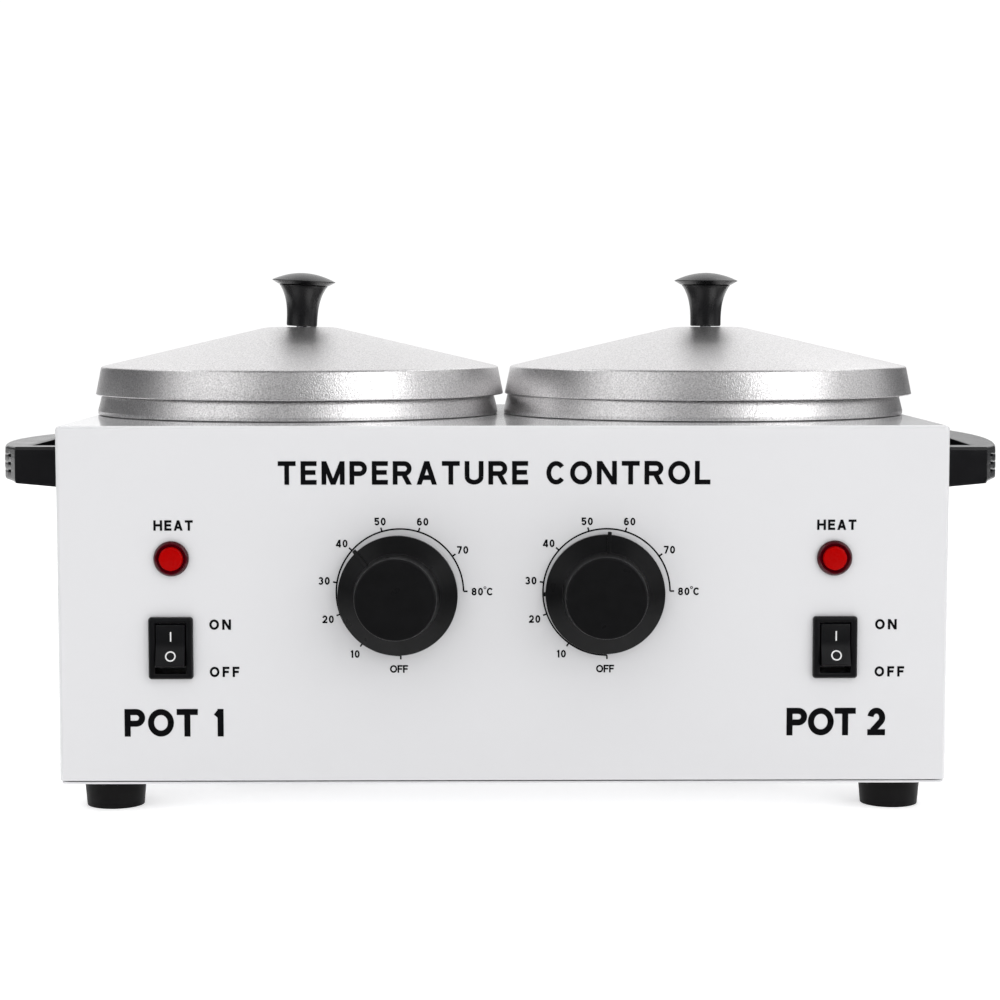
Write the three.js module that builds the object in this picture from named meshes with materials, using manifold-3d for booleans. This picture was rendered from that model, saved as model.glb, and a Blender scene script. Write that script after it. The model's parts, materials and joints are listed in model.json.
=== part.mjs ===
// Double wax warmer: a painted steel casing on rubber feet that carries two heated aluminium pots with
// lift-off lids, and for each pot a thermostat dial, a pilot lamp and a rocker switch.
//
// Millimetres, +Z up. X runs along the front panel and Y from the front panel to the back. The origin is at
// the middle of the whole object's outline, on the surface that it stands on.

import * as THREE from 'three';
import { mergeVertices } from 'three/addons/utils/BufferGeometryUtils.js';
import Module from 'manifold-3d';

// ---- Driving dimensions ----

const GAP = 0.3; // between pieces that touch on the real object

// casing
const BODY_WIDTH = 300;
const BODY_DEPTH = 180;
const BODY_HEIGHT = 120;
const SHEET = 1.2;
const BEND_RADIUS = 2;
const FLANGE_WIDTH = 28; // the sides' turned-in bottom edges, which the feet screw into
const FLANGE_BEND = 1.3;
const BASE_THICKNESS = 0.9;
const BASE_INSET = 1.5;
const FOOT_HEIGHT = 10.2;
const FOOT_TOP_RADIUS = 10.4;
const FOOT_BOTTOM_RADIUS = 9.8;
const FOOT_X = 133.9;
const FOOT_Y = 70.7;
const FOOT_RECESS_RADIUS = 5.5;
const FOOT_RECESS_DEPTH = 5.5;

// pots, measured from the casing's top face
const POT_X = 75.6;
const POT_Y = 9;
const POT_BORE = 64.8;
const POT_WALL = 1.2;
const POT_DEPTH = 85;
const POT_FLOOR_ROUND = 5;
const RIM_FOOT_RADIUS = 74.4;
const RIM_TOP_RADIUS = 70.5;
const RIM_HEIGHT = 16.8;
const POT_HOLE_RADIUS = 67.2;

// lids
const LID_SHEET = 0.8;
const LID_EDGE_RADIUS = 75.9;
const LID_SHOULDER_RADIUS = 73.8;
const LID_CROWN_RADIUS = 12.5;
const LID_EDGE_HEIGHT = 7.4; // above the casing's top face
const LID_SHOULDER_HEIGHT = 17.7;
const LID_CROWN_HEIGHT = 32.2;
const LID_HOLE_RADIUS = 2.6;

// knobs on the lids
const KNOB_FOOT_RADIUS = 5.7;
const KNOB_FLARE = 3.3;
const KNOB_FLARE_POWER = 3.2;
const KNOB_STEM_HEIGHT = 15.3;
const KNOB_CAP_RADIUS = 11.75;
const KNOB_CAP_DOME = 3;
const KNOB_CAP_BELLY = 1.4;

// front panel, with heights measured from the casing's bottom edge
const DIAL_X = 34.75;
const DIAL_HEIGHT = 64;
const LAMP_X = 111.4;
const LAMP_HEIGHT = 75.5;
const SWITCH_X = 111.8;
const SWITCH_HEIGHT = 45.3;

// dials
const SKIRT_RADIUS = 19.9;
const GRIP_BASE_RADIUS = 14.4;
const GRIP_FRONT_RADIUS = 13.5;
const DIAL_LENGTH = 17.5;
const SHAFT_RADIUS = 3;
const BUSH_RADIUS = 4.8;
const THERMOSTAT_DEPTH = 26; // behind the panel's face

// rocker switches
const BEZEL_WIDTH = 15;
const BEZEL_HEIGHT = 21;
const BEZEL_PROUD = 2.2;
const CUTOUT_WIDTH = 13.2;
const CUTOUT_HEIGHT = 19.4;
const ROCKER_WIDTH = 10.1;
const ROCKER_HALF_HEIGHT = 7.3;
const ROCKER_TILT = 10; // degrees each way from level
const ROCKER_PIVOT = -3; // behind the panel's face
const ROCKER_FACE = 5.5; // from the pivot to the middle of the rocker's face

// pilot lamps
const LAMP_RADIUS = 5.75;
const LAMP_STEM_RADIUS = 4.6;

// handles
const HANDLE_HALF_LENGTH = 57.5;
const HANDLE_ARM = 11;
const HANDLE_TIP = 18.5;
const HANDLE_BOW = 29.8;
const HANDLE_HEIGHT = 14.5;
const HANDLE_TOP_DROP = 8; // below the casing's top face
const HANDLE_BEVEL = 1.2;

// mains inlet, on the back
const INLET_HEIGHT = 30;
const INLET_FLANGE_WIDTH = 31;
const INLET_FLANGE_HEIGHT = 24;
const INLET_PROUD = 2.5;
const INLET_CAVITY_DEPTH = 15.5;
const PIN_SPACING = 7;

// What differs between the two sides. side is -1 on the left and 1 on the right. The pointer's angle is
// counted anticlockwise from the right as the user sees the dial, standoff is the gap behind its skirt, and
// each lid and knob sits a little off its pot's middle, within its clearance.
const SIDES = [
  { name: 'left', side: -1, pointer: 134, standoff: 3.6, lidShift: 0.7, knobShift: 0.5, knobLean: 3 },
  { name: 'right', side: 1, pointer: 86, standoff: 1.2, lidShift: 1.8, knobShift: -0.6, knobLean: 0.4 },
];

// ---- Derived places ----

const BASE_Z = FOOT_HEIGHT + GAP;
const BODY_Z = BASE_Z + BASE_THICKNESS + GAP;
const TOP_Z = BODY_Z + BODY_HEIGHT;
const INSIDE_Z = BODY_Z; // pieces that stand on the base plate start here
const FRONT_Y = -BODY_DEPTH / 2;
const BACK_Y = BODY_DEPTH / 2;
const FRONT_REACH = BODY_DEPTH / 2 + SIDES[0].standoff + DIAL_LENGTH;
const BACK_REACH = BODY_DEPTH / 2 + INLET_PROUD;
const FRAME_SHIFT_Y = (FRONT_REACH - BACK_REACH) / 2;
const POT_OUTER = POT_BORE + POT_WALL;
const POT_FLOOR_Z = TOP_Z - POT_DEPTH;

// ---- Materials ----

function material(color, roughness, metalness) {
  return () => new THREE.MeshStandardMaterial({ color, roughness, metalness });
}

const whitePaint = material(0xe2e3e6, 0.3, 0);
const satinAluminium = material(0xc9c9cc, 0.35, 1);
const blackBakelite = material(0x141416, 0.25, 0);
const blackPlastic = material(0x17171a, 0.45, 0);
const blackRubber = material(0x161616, 0.8, 0);
const redLens = material(0xb00008, 0.15, 0);
const whitePlastic = material(0xdedbd0, 0.5, 0);
const zincSteel = material(0xa9adb2, 0.35, 1);
const brass = material(0xb08d4f, 0.3, 1);
const copper = material(0xb5714a, 0.35, 1);
const glassFibre = material(0xe6e1d2, 0.95, 0);
const wireSleeve = material(0xd8d2c2, 0.6, 0);

// ---- Solids ----

const wasm = await Module();
wasm.setup();

function solid(geometry) {
  const bare = geometry.clone();
  bare.deleteAttribute('normal');
  bare.deleteAttribute('uv');
  const merged = mergeVertices(bare, 1e-4);
  const mesh = new wasm.Mesh({
    numProp: 3,
    vertProperties: new Float32Array(merged.attributes.position.array),
    triVerts: new Uint32Array(merged.index.array),
  });
  return new wasm.Manifold(mesh);
}

function geometryOf(body) {
  const mesh = body.getMesh();
  const geometry = new THREE.BufferGeometry();
  geometry.setAttribute('position', new THREE.BufferAttribute(mesh.vertProperties, 3));
  geometry.setIndex(new THREE.BufferAttribute(mesh.triVerts, 1));
  geometry.computeVertexNormals();
  return geometry;
}

function block(x0, x1, y0, y1, z0, z1) {
  const geometry = new THREE.BoxGeometry(x1 - x0, y1 - y0, z1 - z0);
  geometry.translate((x0 + x1) / 2, (y0 + y1) / 2, (z0 + z1) / 2);
  return solid(geometry);
}

// A round bar along Z.
function bar(radius, z0, z1, x = 0, y = 0, sides = 16) {
  const geometry = new THREE.CylinderGeometry(radius, radius, z1 - z0, sides);
  geometry.rotateX(Math.PI / 2);
  geometry.translate(x, y, (z0 + z1) / 2);
  return solid(geometry);
}

// A solid of revolution about Z. The profile's points are [radius, height] and run anticlockwise, with the
// radius to the right. It starts and ends on the axis, or closes on itself.
function turned(profile, sides) {
  const points = profile.map(([radius, height]) => new THREE.Vector2(radius, height));
  const onAxis = points[0].x === 0 && points[points.length - 1].x === 0;
  if (!onAxis) {
    points.push(points[0].clone());
  }
  const geometry = new THREE.LatheGeometry(points, sides);
  geometry.rotateX(Math.PI / 2);
  return solid(geometry);
}

// A flat outline in XY, extruded from z0 to z1.
function slab(shape, z0, z1, curveSegments = 3) {
  const geometry = new THREE.ExtrudeGeometry(shape, { depth: z1 - z0, bevelEnabled: false, curveSegments });
  geometry.translate(0, 0, z0);
  return solid(geometry);
}

function outline(points) {
  return new THREE.Shape(points.map(([x, y]) => new THREE.Vector2(x, y)));
}

// A side view in XZ, extruded from y0 to y1.
function plate(points, y0, y1) {
  const depth = y1 - y0;
  const geometry = new THREE.ExtrudeGeometry(outline(points), { depth, bevelEnabled: false });
  geometry.rotateX(Math.PI / 2);
  geometry.translate(0, y1, 0);
  return solid(geometry);
}

function roundedRectangle(width, height, radius) {
  const shape = new THREE.Shape();
  const right = width / 2;
  const left = -right;
  const top = height / 2;
  const bottom = -top;
  shape.moveTo(left + radius, bottom);
  shape.lineTo(right - radius, bottom);
  shape.absarc(right - radius, bottom + radius, radius, -Math.PI / 2, 0);
  shape.lineTo(right, top - radius);
  shape.absarc(right - radius, top - radius, radius, 0, Math.PI / 2);
  shape.lineTo(left + radius, top);
  shape.absarc(left + radius, top - radius, radius, Math.PI / 2, Math.PI);
  shape.lineTo(left, bottom + radius);
  shape.absarc(left + radius, bottom + radius, radius, Math.PI, Math.PI * 1.5);
  return shape;
}

// A vent slot in XY with cut corners, along X or along Y.
function slot(lengthX, lengthY, x, y) {
  const halfX = lengthX / 2;
  const halfY = lengthY / 2;
  const cut = Math.min(halfX, halfY) * 0.6;
  return outline([
    [x - halfX + cut, y - halfY],
    [x + halfX - cut, y - halfY],
    [x + halfX, y - halfY + cut],
    [x + halfX, y + halfY - cut],
    [x + halfX - cut, y + halfY],
    [x - halfX + cut, y + halfY],
    [x - halfX, y + halfY - cut],
    [x - halfX, y - halfY + cut],
  ]);
}

// A part of a ring in XY, from one angle to another in degrees.
function ringSector(inner, outer, from, to) {
  const start = THREE.MathUtils.degToRad(from);
  const end = THREE.MathUtils.degToRad(to);
  const shape = new THREE.Shape();
  shape.absarc(0, 0, outer, start, end, false);
  shape.absarc(0, 0, inner, end, start, true);
  return shape;
}

function placed(body, matrix) {
  const geometry = geometryOf(body);
  geometry.applyMatrix4(matrix);
  return solid(geometry);
}

// A tube of round section along a smooth curve through the points.
function tube(points, radius, steps, sides = 8) {
  const path = new THREE.CatmullRomCurve3(points.map((point) => new THREE.Vector3(...point)));
  const section = new THREE.Shape();
  section.absarc(0, 0, radius, 0, Math.PI * 2, false);
  const geometry = new THREE.ExtrudeGeometry(section, {
    steps,
    extrudePath: path,
    bevelEnabled: false,
    curveSegments: sides / 2,
  });
  return solid(geometry);
}

// ---- Frames ----

// Local X stays to the right as seen from outside, local Y points up and local Z out of the panel.
function frontFrame(x, height) {
  const frame = new THREE.Group();
  frame.position.set(x, FRONT_Y, BODY_Z + height);
  frame.rotation.x = Math.PI / 2;
  return frame;
}

function backFrame(height) {
  const frame = new THREE.Group();
  frame.position.set(0, BACK_Y, BODY_Z + height);
  frame.rotation.order = 'ZXY';
  frame.rotation.z = Math.PI;
  frame.rotation.x = Math.PI / 2;
  return frame;
}

function matrixOf(frame) {
  frame.updateMatrix();
  return frame.matrix;
}

function groupAt(x, y, z) {
  const group = new THREE.Group();
  group.position.set(x, y, z);
  return group;
}

const warmer = new THREE.Group();
warmer.position.y = FRAME_SHIFT_Y;

function add(parent, name, body, makeMaterial) {
  const mesh = new THREE.Mesh(geometryOf(body), makeMaterial());
  mesh.name = name;
  parent.add(mesh);
}

function addFrame(parent, frame) {
  parent.add(frame);
  return frame;
}

// ---- Casing ----

const PANEL_CUT = 10; // how far each panel cutter reaches past the sheet
const SCREW_HOLE_RADIUS = 2.4;
const LAMP_HOLE_RADIUS = 4.9;
const SHAFT_HOLE_RADIUS = 5.1;
const INLET_HOLE_WIDTH = 27.8;
const INLET_HOLE_HEIGHT = 20.6;
const HANDLE_SCREW_Z = HANDLE_HEIGHT / 2;
const HANDLE_Z = TOP_Z - HANDLE_TOP_DROP - HANDLE_HEIGHT;
const HANDLE_SCREW_Y = HANDLE_HALF_LENGTH - HANDLE_ARM / 2;

function bentBox() {
  const bevel = BEND_RADIUS * 0.8;
  const spare = 5;
  const shape = roundedRectangle(
    BODY_WIDTH - 2 * bevel, BODY_DEPTH - 2 * bevel, BEND_RADIUS - bevel);
  const geometry = new THREE.ExtrudeGeometry(shape, {
    depth: BODY_HEIGHT + spare - 2 * bevel,
    bevelEnabled: true,
    bevelThickness: bevel,
    bevelSize: bevel,
    bevelSegments: 2,
    curveSegments: 1,
  });
  geometry.translate(0, 0, bevel - spare);
  const below = block(-BODY_WIDTH, BODY_WIDTH, -BODY_DEPTH, BODY_DEPTH, -2 * spare, 0);
  return solid(geometry).subtract(below);
}

function frontCutters() {
  const cutters = [];
  for (const side of [-1, 1]) {
    const shaftHole = bar(SHAFT_HOLE_RADIUS, -PANEL_CUT, PANEL_CUT);
    const lampHole = bar(LAMP_HOLE_RADIUS, -PANEL_CUT, PANEL_CUT);
    const halfX = CUTOUT_WIDTH / 2;
    const halfY = CUTOUT_HEIGHT / 2;
    const switchHole = block(-halfX, halfX, -halfY, halfY, -PANEL_CUT, PANEL_CUT);
    cutters.push(placed(shaftHole, matrixOf(frontFrame(side * DIAL_X, DIAL_HEIGHT))));
    cutters.push(placed(lampHole, matrixOf(frontFrame(side * LAMP_X, LAMP_HEIGHT))));
    cutters.push(placed(switchHole, matrixOf(frontFrame(side * SWITCH_X, SWITCH_HEIGHT))));
  }
  return cutters;
}

function backCutters() {
  const cutters = [];
  const inletHole = slab(roundedRectangle(INLET_HOLE_WIDTH, INLET_HOLE_HEIGHT, 1), -PANEL_CUT, PANEL_CUT, 1);
  cutters.push(placed(inletHole, matrixOf(backFrame(INLET_HEIGHT))));
  const ventWidth = 3;
  const ventLength = 22;
  const ventPitch = 8;
  const ventHeight = 84;
  const groupX = 75;
  for (const side of [-1, 1]) {
    for (let row = -1.5; row <= 1.5; row += 1) {
      const x = side * groupX + row * ventPitch;
      const vent = slab(slot(ventWidth, ventLength, x, 0), -PANEL_CUT, PANEL_CUT);
      cutters.push(placed(vent, matrixOf(backFrame(ventHeight))));
    }
  }
  return cutters;
}

function outerShell() {
  let shell = placed(bentBox(), new THREE.Matrix4().makeTranslation(0, 0, BODY_Z));
  const insideX = BODY_WIDTH / 2 - SHEET;
  const insideY = BODY_DEPTH / 2 - SHEET;
  shell = shell.subtract(block(-insideX, insideX, -insideY, insideY, BODY_Z - 1, TOP_Z - SHEET));
  for (const side of [-1, 1]) {
    const outer = side * (BODY_WIDTH / 2 - SHEET / 2);
    const inner = side * (BODY_WIDTH / 2 - FLANGE_WIDTH);
    const reachY = BODY_DEPTH / 2 - SHEET / 2;
    const low = Math.min(outer, inner);
    const high = Math.max(outer, inner);
    shell = shell.add(block(low, high, -reachY, reachY, BODY_Z, BODY_Z + SHEET));
    const edge = side * BODY_WIDTH / 2;
    const corner = [
      [edge + side, BODY_Z - 1],
      [edge + side, BODY_Z + FLANGE_BEND + 1],
      [edge - side * (FLANGE_BEND + 1), BODY_Z - 1],
    ];
    const anticlockwise = side < 0 ? [...corner].reverse() : corner;
    shell = shell.subtract(plate(anticlockwise, -BODY_DEPTH, BODY_DEPTH));
    const potHole = bar(POT_HOLE_RADIUS, TOP_Z - PANEL_CUT, TOP_Z + PANEL_CUT, side * POT_X, POT_Y, 32);
    shell = shell.subtract(potHole);
    for (const end of [-1, 1]) {
      const hole = bar(SCREW_HOLE_RADIUS, BODY_Z - 1, BODY_Z + 2 * SHEET, side * FOOT_X, end * FOOT_Y, 12);
      shell = shell.subtract(hole);
      const sideHole = bar(SCREW_HOLE_RADIUS, -PANEL_CUT, PANEL_CUT, 0, 0, 10);
      const place = new THREE.Matrix4().makeTranslation(
        edge, end * HANDLE_SCREW_Y, HANDLE_Z + HANDLE_SCREW_Z);
      place.multiply(new THREE.Matrix4().makeRotationY(Math.PI / 2));
      shell = shell.subtract(placed(sideHole, place));
    }
  }
  for (const cutter of [...frontCutters(), ...backCutters()]) {
    shell = shell.subtract(cutter);
  }
  return shell;
}

function basePlate() {
  const shape = roundedRectangle(BODY_WIDTH - 2 * BASE_INSET, BODY_DEPTH - 2 * BASE_INSET, 2);
  const ventLength = 46;
  const ventWidth = 3;
  const ventRows = [-40, -30, 48, 58];
  for (const side of [-1, 1]) {
    for (const end of [-1, 1]) {
      const hole = new THREE.Path();
      hole.absarc(side * FOOT_X, end * FOOT_Y, SCREW_HOLE_RADIUS, 0, Math.PI * 2, true);
      shape.holes.push(hole);
    }
    for (const y of ventRows) {
      shape.holes.push(slot(ventLength, ventWidth, side * POT_X, y));
    }
  }
  return slab(shape, BASE_Z, BASE_Z + BASE_THICKNESS, 3);
}

function foot() {
  const hole = SCREW_HOLE_RADIUS;
  return turned([
    [FOOT_RECESS_RADIUS, 0],
    [FOOT_BOTTOM_RADIUS, 0],
    [FOOT_TOP_RADIUS, FOOT_HEIGHT],
    [hole, FOOT_HEIGHT],
    [hole, FOOT_RECESS_DEPTH],
    [FOOT_RECESS_RADIUS, FOOT_RECESS_DEPTH],
  ], 16);
}

// A pan-head screw that points up from its head, with the head's seat at height 0.
function screw(shankRadius, length, headRadius, headHeight) {
  return turned([
    [0, -headHeight],
    [headRadius * 0.7, -headHeight],
    [headRadius, -headHeight * 0.5],
    [headRadius, 0],
    [shankRadius, 0],
    [shankRadius, length],
    [0, length],
  ], 8);
}

add(warmer, 'outer_shell', outerShell(), whitePaint);
add(warmer, 'base_plate', basePlate(), whitePaint);

for (const [endName, end] of [['front', -1], ['rear', 1]]) {
  for (const { name, side } of SIDES) {
    const place = addFrame(warmer, groupAt(side * FOOT_X, end * FOOT_Y, 0));
    add(place, `foot_${endName}_${name}`, foot(), blackRubber);
    const footScrew = addFrame(place, groupAt(0, 0, FOOT_RECESS_DEPTH - GAP));
    add(footScrew, `foot_screw_${endName}_${name}`, screw(2, 15, 4.2, 3), zincSteel);
  }
}

// ---- Pots and their heating ----

const BAND_BOTTOM = 3; // above the pot's floor
const BAND_HEIGHT = 25;
const BAND_THICKNESS = 2.5;
const BAND_ANGLE = -40; // where the band's ears stand out, towards the front middle
const EAR_GAP = 2.5;
const EAR_THICKNESS = 1.8;
const EAR_LENGTH = 9;
const WRAP_THICKNESS = 2.2;
const WRAP_MIDDLE = -50; // the middle of the wrap's open stretch, at the front middle as well
const WRAP_OPEN = 22;
const SENSOR_ANGLE = 62;
const SENSOR_RADIUS = 3;
const BRACKET_HALF_WIDTH = 20;
const BRACKET_HALF_DEPTH = 15;
const BRACKET_SHEET = 1.5;
const RING_SEGMENTS = 18; // enough for the flats of a ring to stay off the ring inside it

function pot() {
  const floor = -POT_DEPTH;
  const bore = POT_BORE;
  const rimSlope = (RIM_FOOT_RADIUS - RIM_TOP_RADIUS) / RIM_HEIGHT;
  const underRim = RIM_HEIGHT - POT_WALL;
  const underRimRadius = RIM_FOOT_RADIUS - POT_WALL - rimSlope * underRim;
  return turned([
    [0, floor - POT_WALL],
    [POT_OUTER - POT_FLOOR_ROUND, floor - POT_WALL],
    [POT_OUTER, floor + POT_FLOOR_ROUND - POT_WALL],
    [POT_OUTER, underRim],
    [underRimRadius, underRim],
    [RIM_FOOT_RADIUS - POT_WALL, GAP],
    [RIM_FOOT_RADIUS, GAP],
    [RIM_FOOT_RADIUS, GAP + 1],
    [RIM_TOP_RADIUS, RIM_HEIGHT - 0.5],
    [RIM_TOP_RADIUS - 0.5, RIM_HEIGHT],
    [bore + 0.6, RIM_HEIGHT],
    [bore, RIM_HEIGHT - 0.6],
    [bore, floor + POT_FLOOR_ROUND],
    [bore - POT_FLOOR_ROUND, floor],
    [0, floor],
  ], 32);
}

// The band's ears stand out along local X.
function heaterBand() {
  const inner = POT_OUTER + GAP;
  const outer = inner + BAND_THICKNESS;
  const open = THREE.MathUtils.radToDeg(Math.asin(EAR_GAP / inner));
  let band = slab(ringSector(inner, outer, open, 360 - open), 0, BAND_HEIGHT, RING_SEGMENTS);
  for (const side of [-1, 1]) {
    const near = side * EAR_GAP;
    const far = side * (EAR_GAP + EAR_THICKNESS);
    const low = Math.min(near, far);
    const high = Math.max(near, far);
    const ear = block(inner + BAND_THICKNESS / 2, outer + EAR_LENGTH, low, high, 0, BAND_HEIGHT);
    band = band.add(ear);
  }
  return band.subtract(crossBar(SCREW_HOLE_RADIUS, -PANEL_CUT, PANEL_CUT));
}

function earCentre() {
  return [POT_OUTER + GAP + BAND_THICKNESS + EAR_LENGTH / 2, BAND_HEIGHT / 2];
}

// A bar along local Y through the middle of the band's ears.
function crossBar(radius, y0, y1) {
  const [x, z] = earCentre();
  const matrix = new THREE.Matrix4().makeTranslation(x, 0, z);
  matrix.multiply(new THREE.Matrix4().makeRotationX(-Math.PI / 2));
  return placed(bar(radius, y0, y1, 0, 0, 10), matrix);
}

function insulationWrap() {
  const inner = POT_OUTER + GAP + BAND_THICKNESS + GAP;
  const height = POT_DEPTH - 11;
  const ring = ringSector(inner, inner + WRAP_THICKNESS, WRAP_OPEN, 360 - WRAP_OPEN);
  return slab(ring, 0, height, RING_SEGMENTS);
}

function potBracket() {
  const height = POT_FLOOR_Z - POT_WALL - GAP - INSIDE_Z;
  const half = BRACKET_HALF_WIDTH;
  const t = BRACKET_SHEET;
  return plate([
    [-half, 0],
    [-half + t, 0],
    [-half + t, height - t],
    [half - t, height - t],
    [half - t, 0],
    [half, 0],
    [half, height],
    [-half, height],
  ], -BRACKET_HALF_DEPTH, BRACKET_HALF_DEPTH);
}

// The thermostat's sensing bulb stands against the pot, and its capillary runs forward to the thermostat.
function capillarySensor(side) {
  const reach = POT_OUTER + GAP + SENSOR_RADIUS;
  const angle = THREE.MathUtils.degToRad(SENSOR_ANGLE);
  const x = POT_X - reach * Math.cos(angle);
  const y = POT_Y - reach * Math.sin(angle);
  const bulbBottom = 84;
  const bulbTop = 121;
  const capillaryRadius = 0.9;
  const start = FRONT_Y + THERMOSTAT_DEPTH + GAP;
  const path = [
    [side * DIAL_X, start, bulbBottom - 14],
    [side * (DIAL_X + 0.3), start + 4, bulbBottom - 13.5],
    [side * (DIAL_X + 3.2), y - 3, bulbBottom - 11],
    [side * (x - 1.4), y - 0.4, bulbBottom - 6],
    [side * x, y, bulbBottom + 1],
  ];
  const bulb = bar(SENSOR_RADIUS, bulbBottom, bulbTop, side * x, y, 12);
  return bulb.add(tube(path, capillaryRadius, 12, 6));
}

for (const { name, side } of SIDES) {
  const place = addFrame(warmer, groupAt(side * POT_X, POT_Y, TOP_Z));
  add(place, `pot_${name}`, pot(), satinAluminium);

  const band = addFrame(place, groupAt(0, 0, BAND_BOTTOM - POT_DEPTH));
  const turn = (angle) => THREE.MathUtils.degToRad(side < 0 ? angle : 180 - angle);
  band.rotation.z = turn(BAND_ANGLE);
  add(band, `heater_band_${name}`, heaterBand(), zincSteel);

  const [earX, earZ] = earCentre();
  const clamp = addFrame(band, groupAt(earX, -EAR_GAP - EAR_THICKNESS - GAP, earZ));
  clamp.rotation.x = -Math.PI / 2;
  add(clamp, `band_screw_${name}`, screw(2, 13, 3.5, 2.4), zincSteel);

  const wrap = addFrame(place, groupAt(0, 0, BAND_BOTTOM - POT_DEPTH));
  wrap.rotation.z = turn(WRAP_MIDDLE);
  add(wrap, `insulation_wrap_${name}`, insulationWrap(), glassFibre);

  const bracket = addFrame(warmer, groupAt(side * POT_X, POT_Y, INSIDE_Z));
  add(bracket, `pot_bracket_${name}`, potBracket(), zincSteel);
  add(warmer, `capillary_sensor_${name}`, capillarySensor(side), copper);
}

// ---- Lids and their knobs ----

function lid() {
  const slope = (LID_CROWN_HEIGHT - LID_SHOULDER_HEIGHT) / (LID_SHOULDER_RADIUS - LID_CROWN_RADIUS);
  const rise = LID_SHEET * Math.sqrt(1 + slope * slope); // the sheet's thickness measured straight up
  const round = 1;
  const shoulder = LID_SHOULDER_RADIUS;
  const underShoulder = LID_SHOULDER_HEIGHT - rise;
  return turned([
    [LID_HOLE_RADIUS, LID_CROWN_HEIGHT - LID_SHEET],
    [LID_CROWN_RADIUS - 4, LID_CROWN_HEIGHT - LID_SHEET],
    [LID_CROWN_RADIUS, LID_CROWN_HEIGHT - LID_SHEET - 0.4],
    [shoulder - round, underShoulder + slope * round],
    [shoulder - LID_SHEET, underShoulder],
    [LID_EDGE_RADIUS - LID_SHEET, LID_EDGE_HEIGHT],
    [LID_EDGE_RADIUS, LID_EDGE_HEIGHT],
    [shoulder + 0.15, LID_SHOULDER_HEIGHT - round],
    [shoulder - round, LID_SHOULDER_HEIGHT + slope * round],
    [LID_CROWN_RADIUS, LID_CROWN_HEIGHT - 0.3],
    [LID_CROWN_RADIUS - 4, LID_CROWN_HEIGHT],
    [LID_HOLE_RADIUS, LID_CROWN_HEIGHT],
  ], 32);
}

const KNOB_BORE = 2.35;
const KNOB_SCREW_RADIUS = 2;

function knobStem() {
  const steps = 6;
  const outside = [];
  for (let i = 0; i <= steps; i += 1) {
    const t = i / steps;
    outside.push([KNOB_FOOT_RADIUS + KNOB_FLARE * t ** KNOB_FLARE_POWER, KNOB_STEM_HEIGHT * t]);
  }
  return turned([[KNOB_BORE, 0], ...outside, [KNOB_BORE, KNOB_STEM_HEIGHT]], 16);
}

// The cap's rim is at height 0: a dome above it, and a flatter belly below that stands on the stem.
function knobCap() {
  const steps = 3;
  const dome = [];
  const belly = [];
  for (let i = 0; i < steps; i += 1) {
    const t = i / steps;
    dome.push([KNOB_CAP_RADIUS * (1 - t), KNOB_CAP_DOME * (1 - (1 - t) ** 2)]);
  }
  for (let i = 1; i < steps; i += 1) {
    const t = i / steps;
    const radius = KNOB_BORE + (KNOB_CAP_RADIUS - KNOB_BORE) * t;
    belly.push([radius, -KNOB_CAP_BELLY * (1 - t * t)]);
  }
  return turned([
    [0, 1.2],
    [KNOB_BORE, 1.2],
    [KNOB_BORE, -KNOB_CAP_BELLY],
    ...belly,
    ...dome,
    [0, KNOB_CAP_DOME],
  ], 20);
}

for (const { name, side, lidShift, knobShift, knobLean } of SIDES) {
  const place = addFrame(warmer, groupAt(side * POT_X + lidShift, POT_Y, TOP_Z));
  add(place, `lid_${name}`, lid(), satinAluminium);
  const knob = addFrame(place, groupAt(knobShift, 0, LID_CROWN_HEIGHT + GAP));
  knob.rotation.y = THREE.MathUtils.degToRad(knobLean);
  add(knob, `knob_stem_${name}`, knobStem(), blackBakelite);
  const cap = addFrame(knob, groupAt(0, 0, KNOB_STEM_HEIGHT + GAP + KNOB_CAP_BELLY));
  add(cap, `knob_cap_${name}`, knobCap(), blackBakelite);
  const headSeat = -LID_SHEET - 3 * GAP;
  const shank = KNOB_STEM_HEIGHT + KNOB_CAP_BELLY + 1 - headSeat;
  const fixing = addFrame(knob, groupAt(0, 0, headSeat));
  add(fixing, `knob_screw_${name}`, screw(KNOB_SCREW_RADIUS, shank, 4, 2.4), zincSteel);
}

// ---- Thermostats and dials ----

const DIAL_WALL = 1.5;
const HUB_RADIUS = 5.5;
const HUB_BORE = SHAFT_RADIUS + GAP;
const SHAFT_DEPTH = 13.6; // behind the panel's face
const SHAFT_SHORT = 5.3; // from the shaft's end to the dial's front

function thermostat(side) {
  const half = 15;
  const collarRadius = 9;
  const inside = -SHEET - GAP;
  let body = slab(roundedRectangle(2 * half, 2 * half, 2), -THERMOSTAT_DEPTH, -4, 1);
  body = body.add(bar(collarRadius, -4.5, inside));
  body = body.add(bar(BUSH_RADIUS, -4.5, 2.6));
  for (const y of [-7, 7]) {
    const x = -side * 9;
    const tabEnd = -THERMOSTAT_DEPTH - 8;
    body = body.add(block(x - 3.15, x + 3.15, y - 0.4, y + 0.4, tabEnd, -THERMOSTAT_DEPTH + 1));
  }
  return body.subtract(bar(HUB_BORE, -SHAFT_DEPTH - GAP, PANEL_CUT));
}

function thermostatNut() {
  return bar(8, GAP, 2.2, 0, 0, 6).subtract(bar(SHAFT_HOLE_RADIUS, -1, PANEL_CUT, 0, 0, 12));
}

function shaft(front) {
  const end = front - SHAFT_SHORT;
  const flat = block(-PANEL_CUT, PANEL_CUT, 2.1, PANEL_CUT, 5, end + 1);
  return bar(SHAFT_RADIUS, -SHAFT_DEPTH, end, 0, 0, 14).subtract(flat);
}

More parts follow.
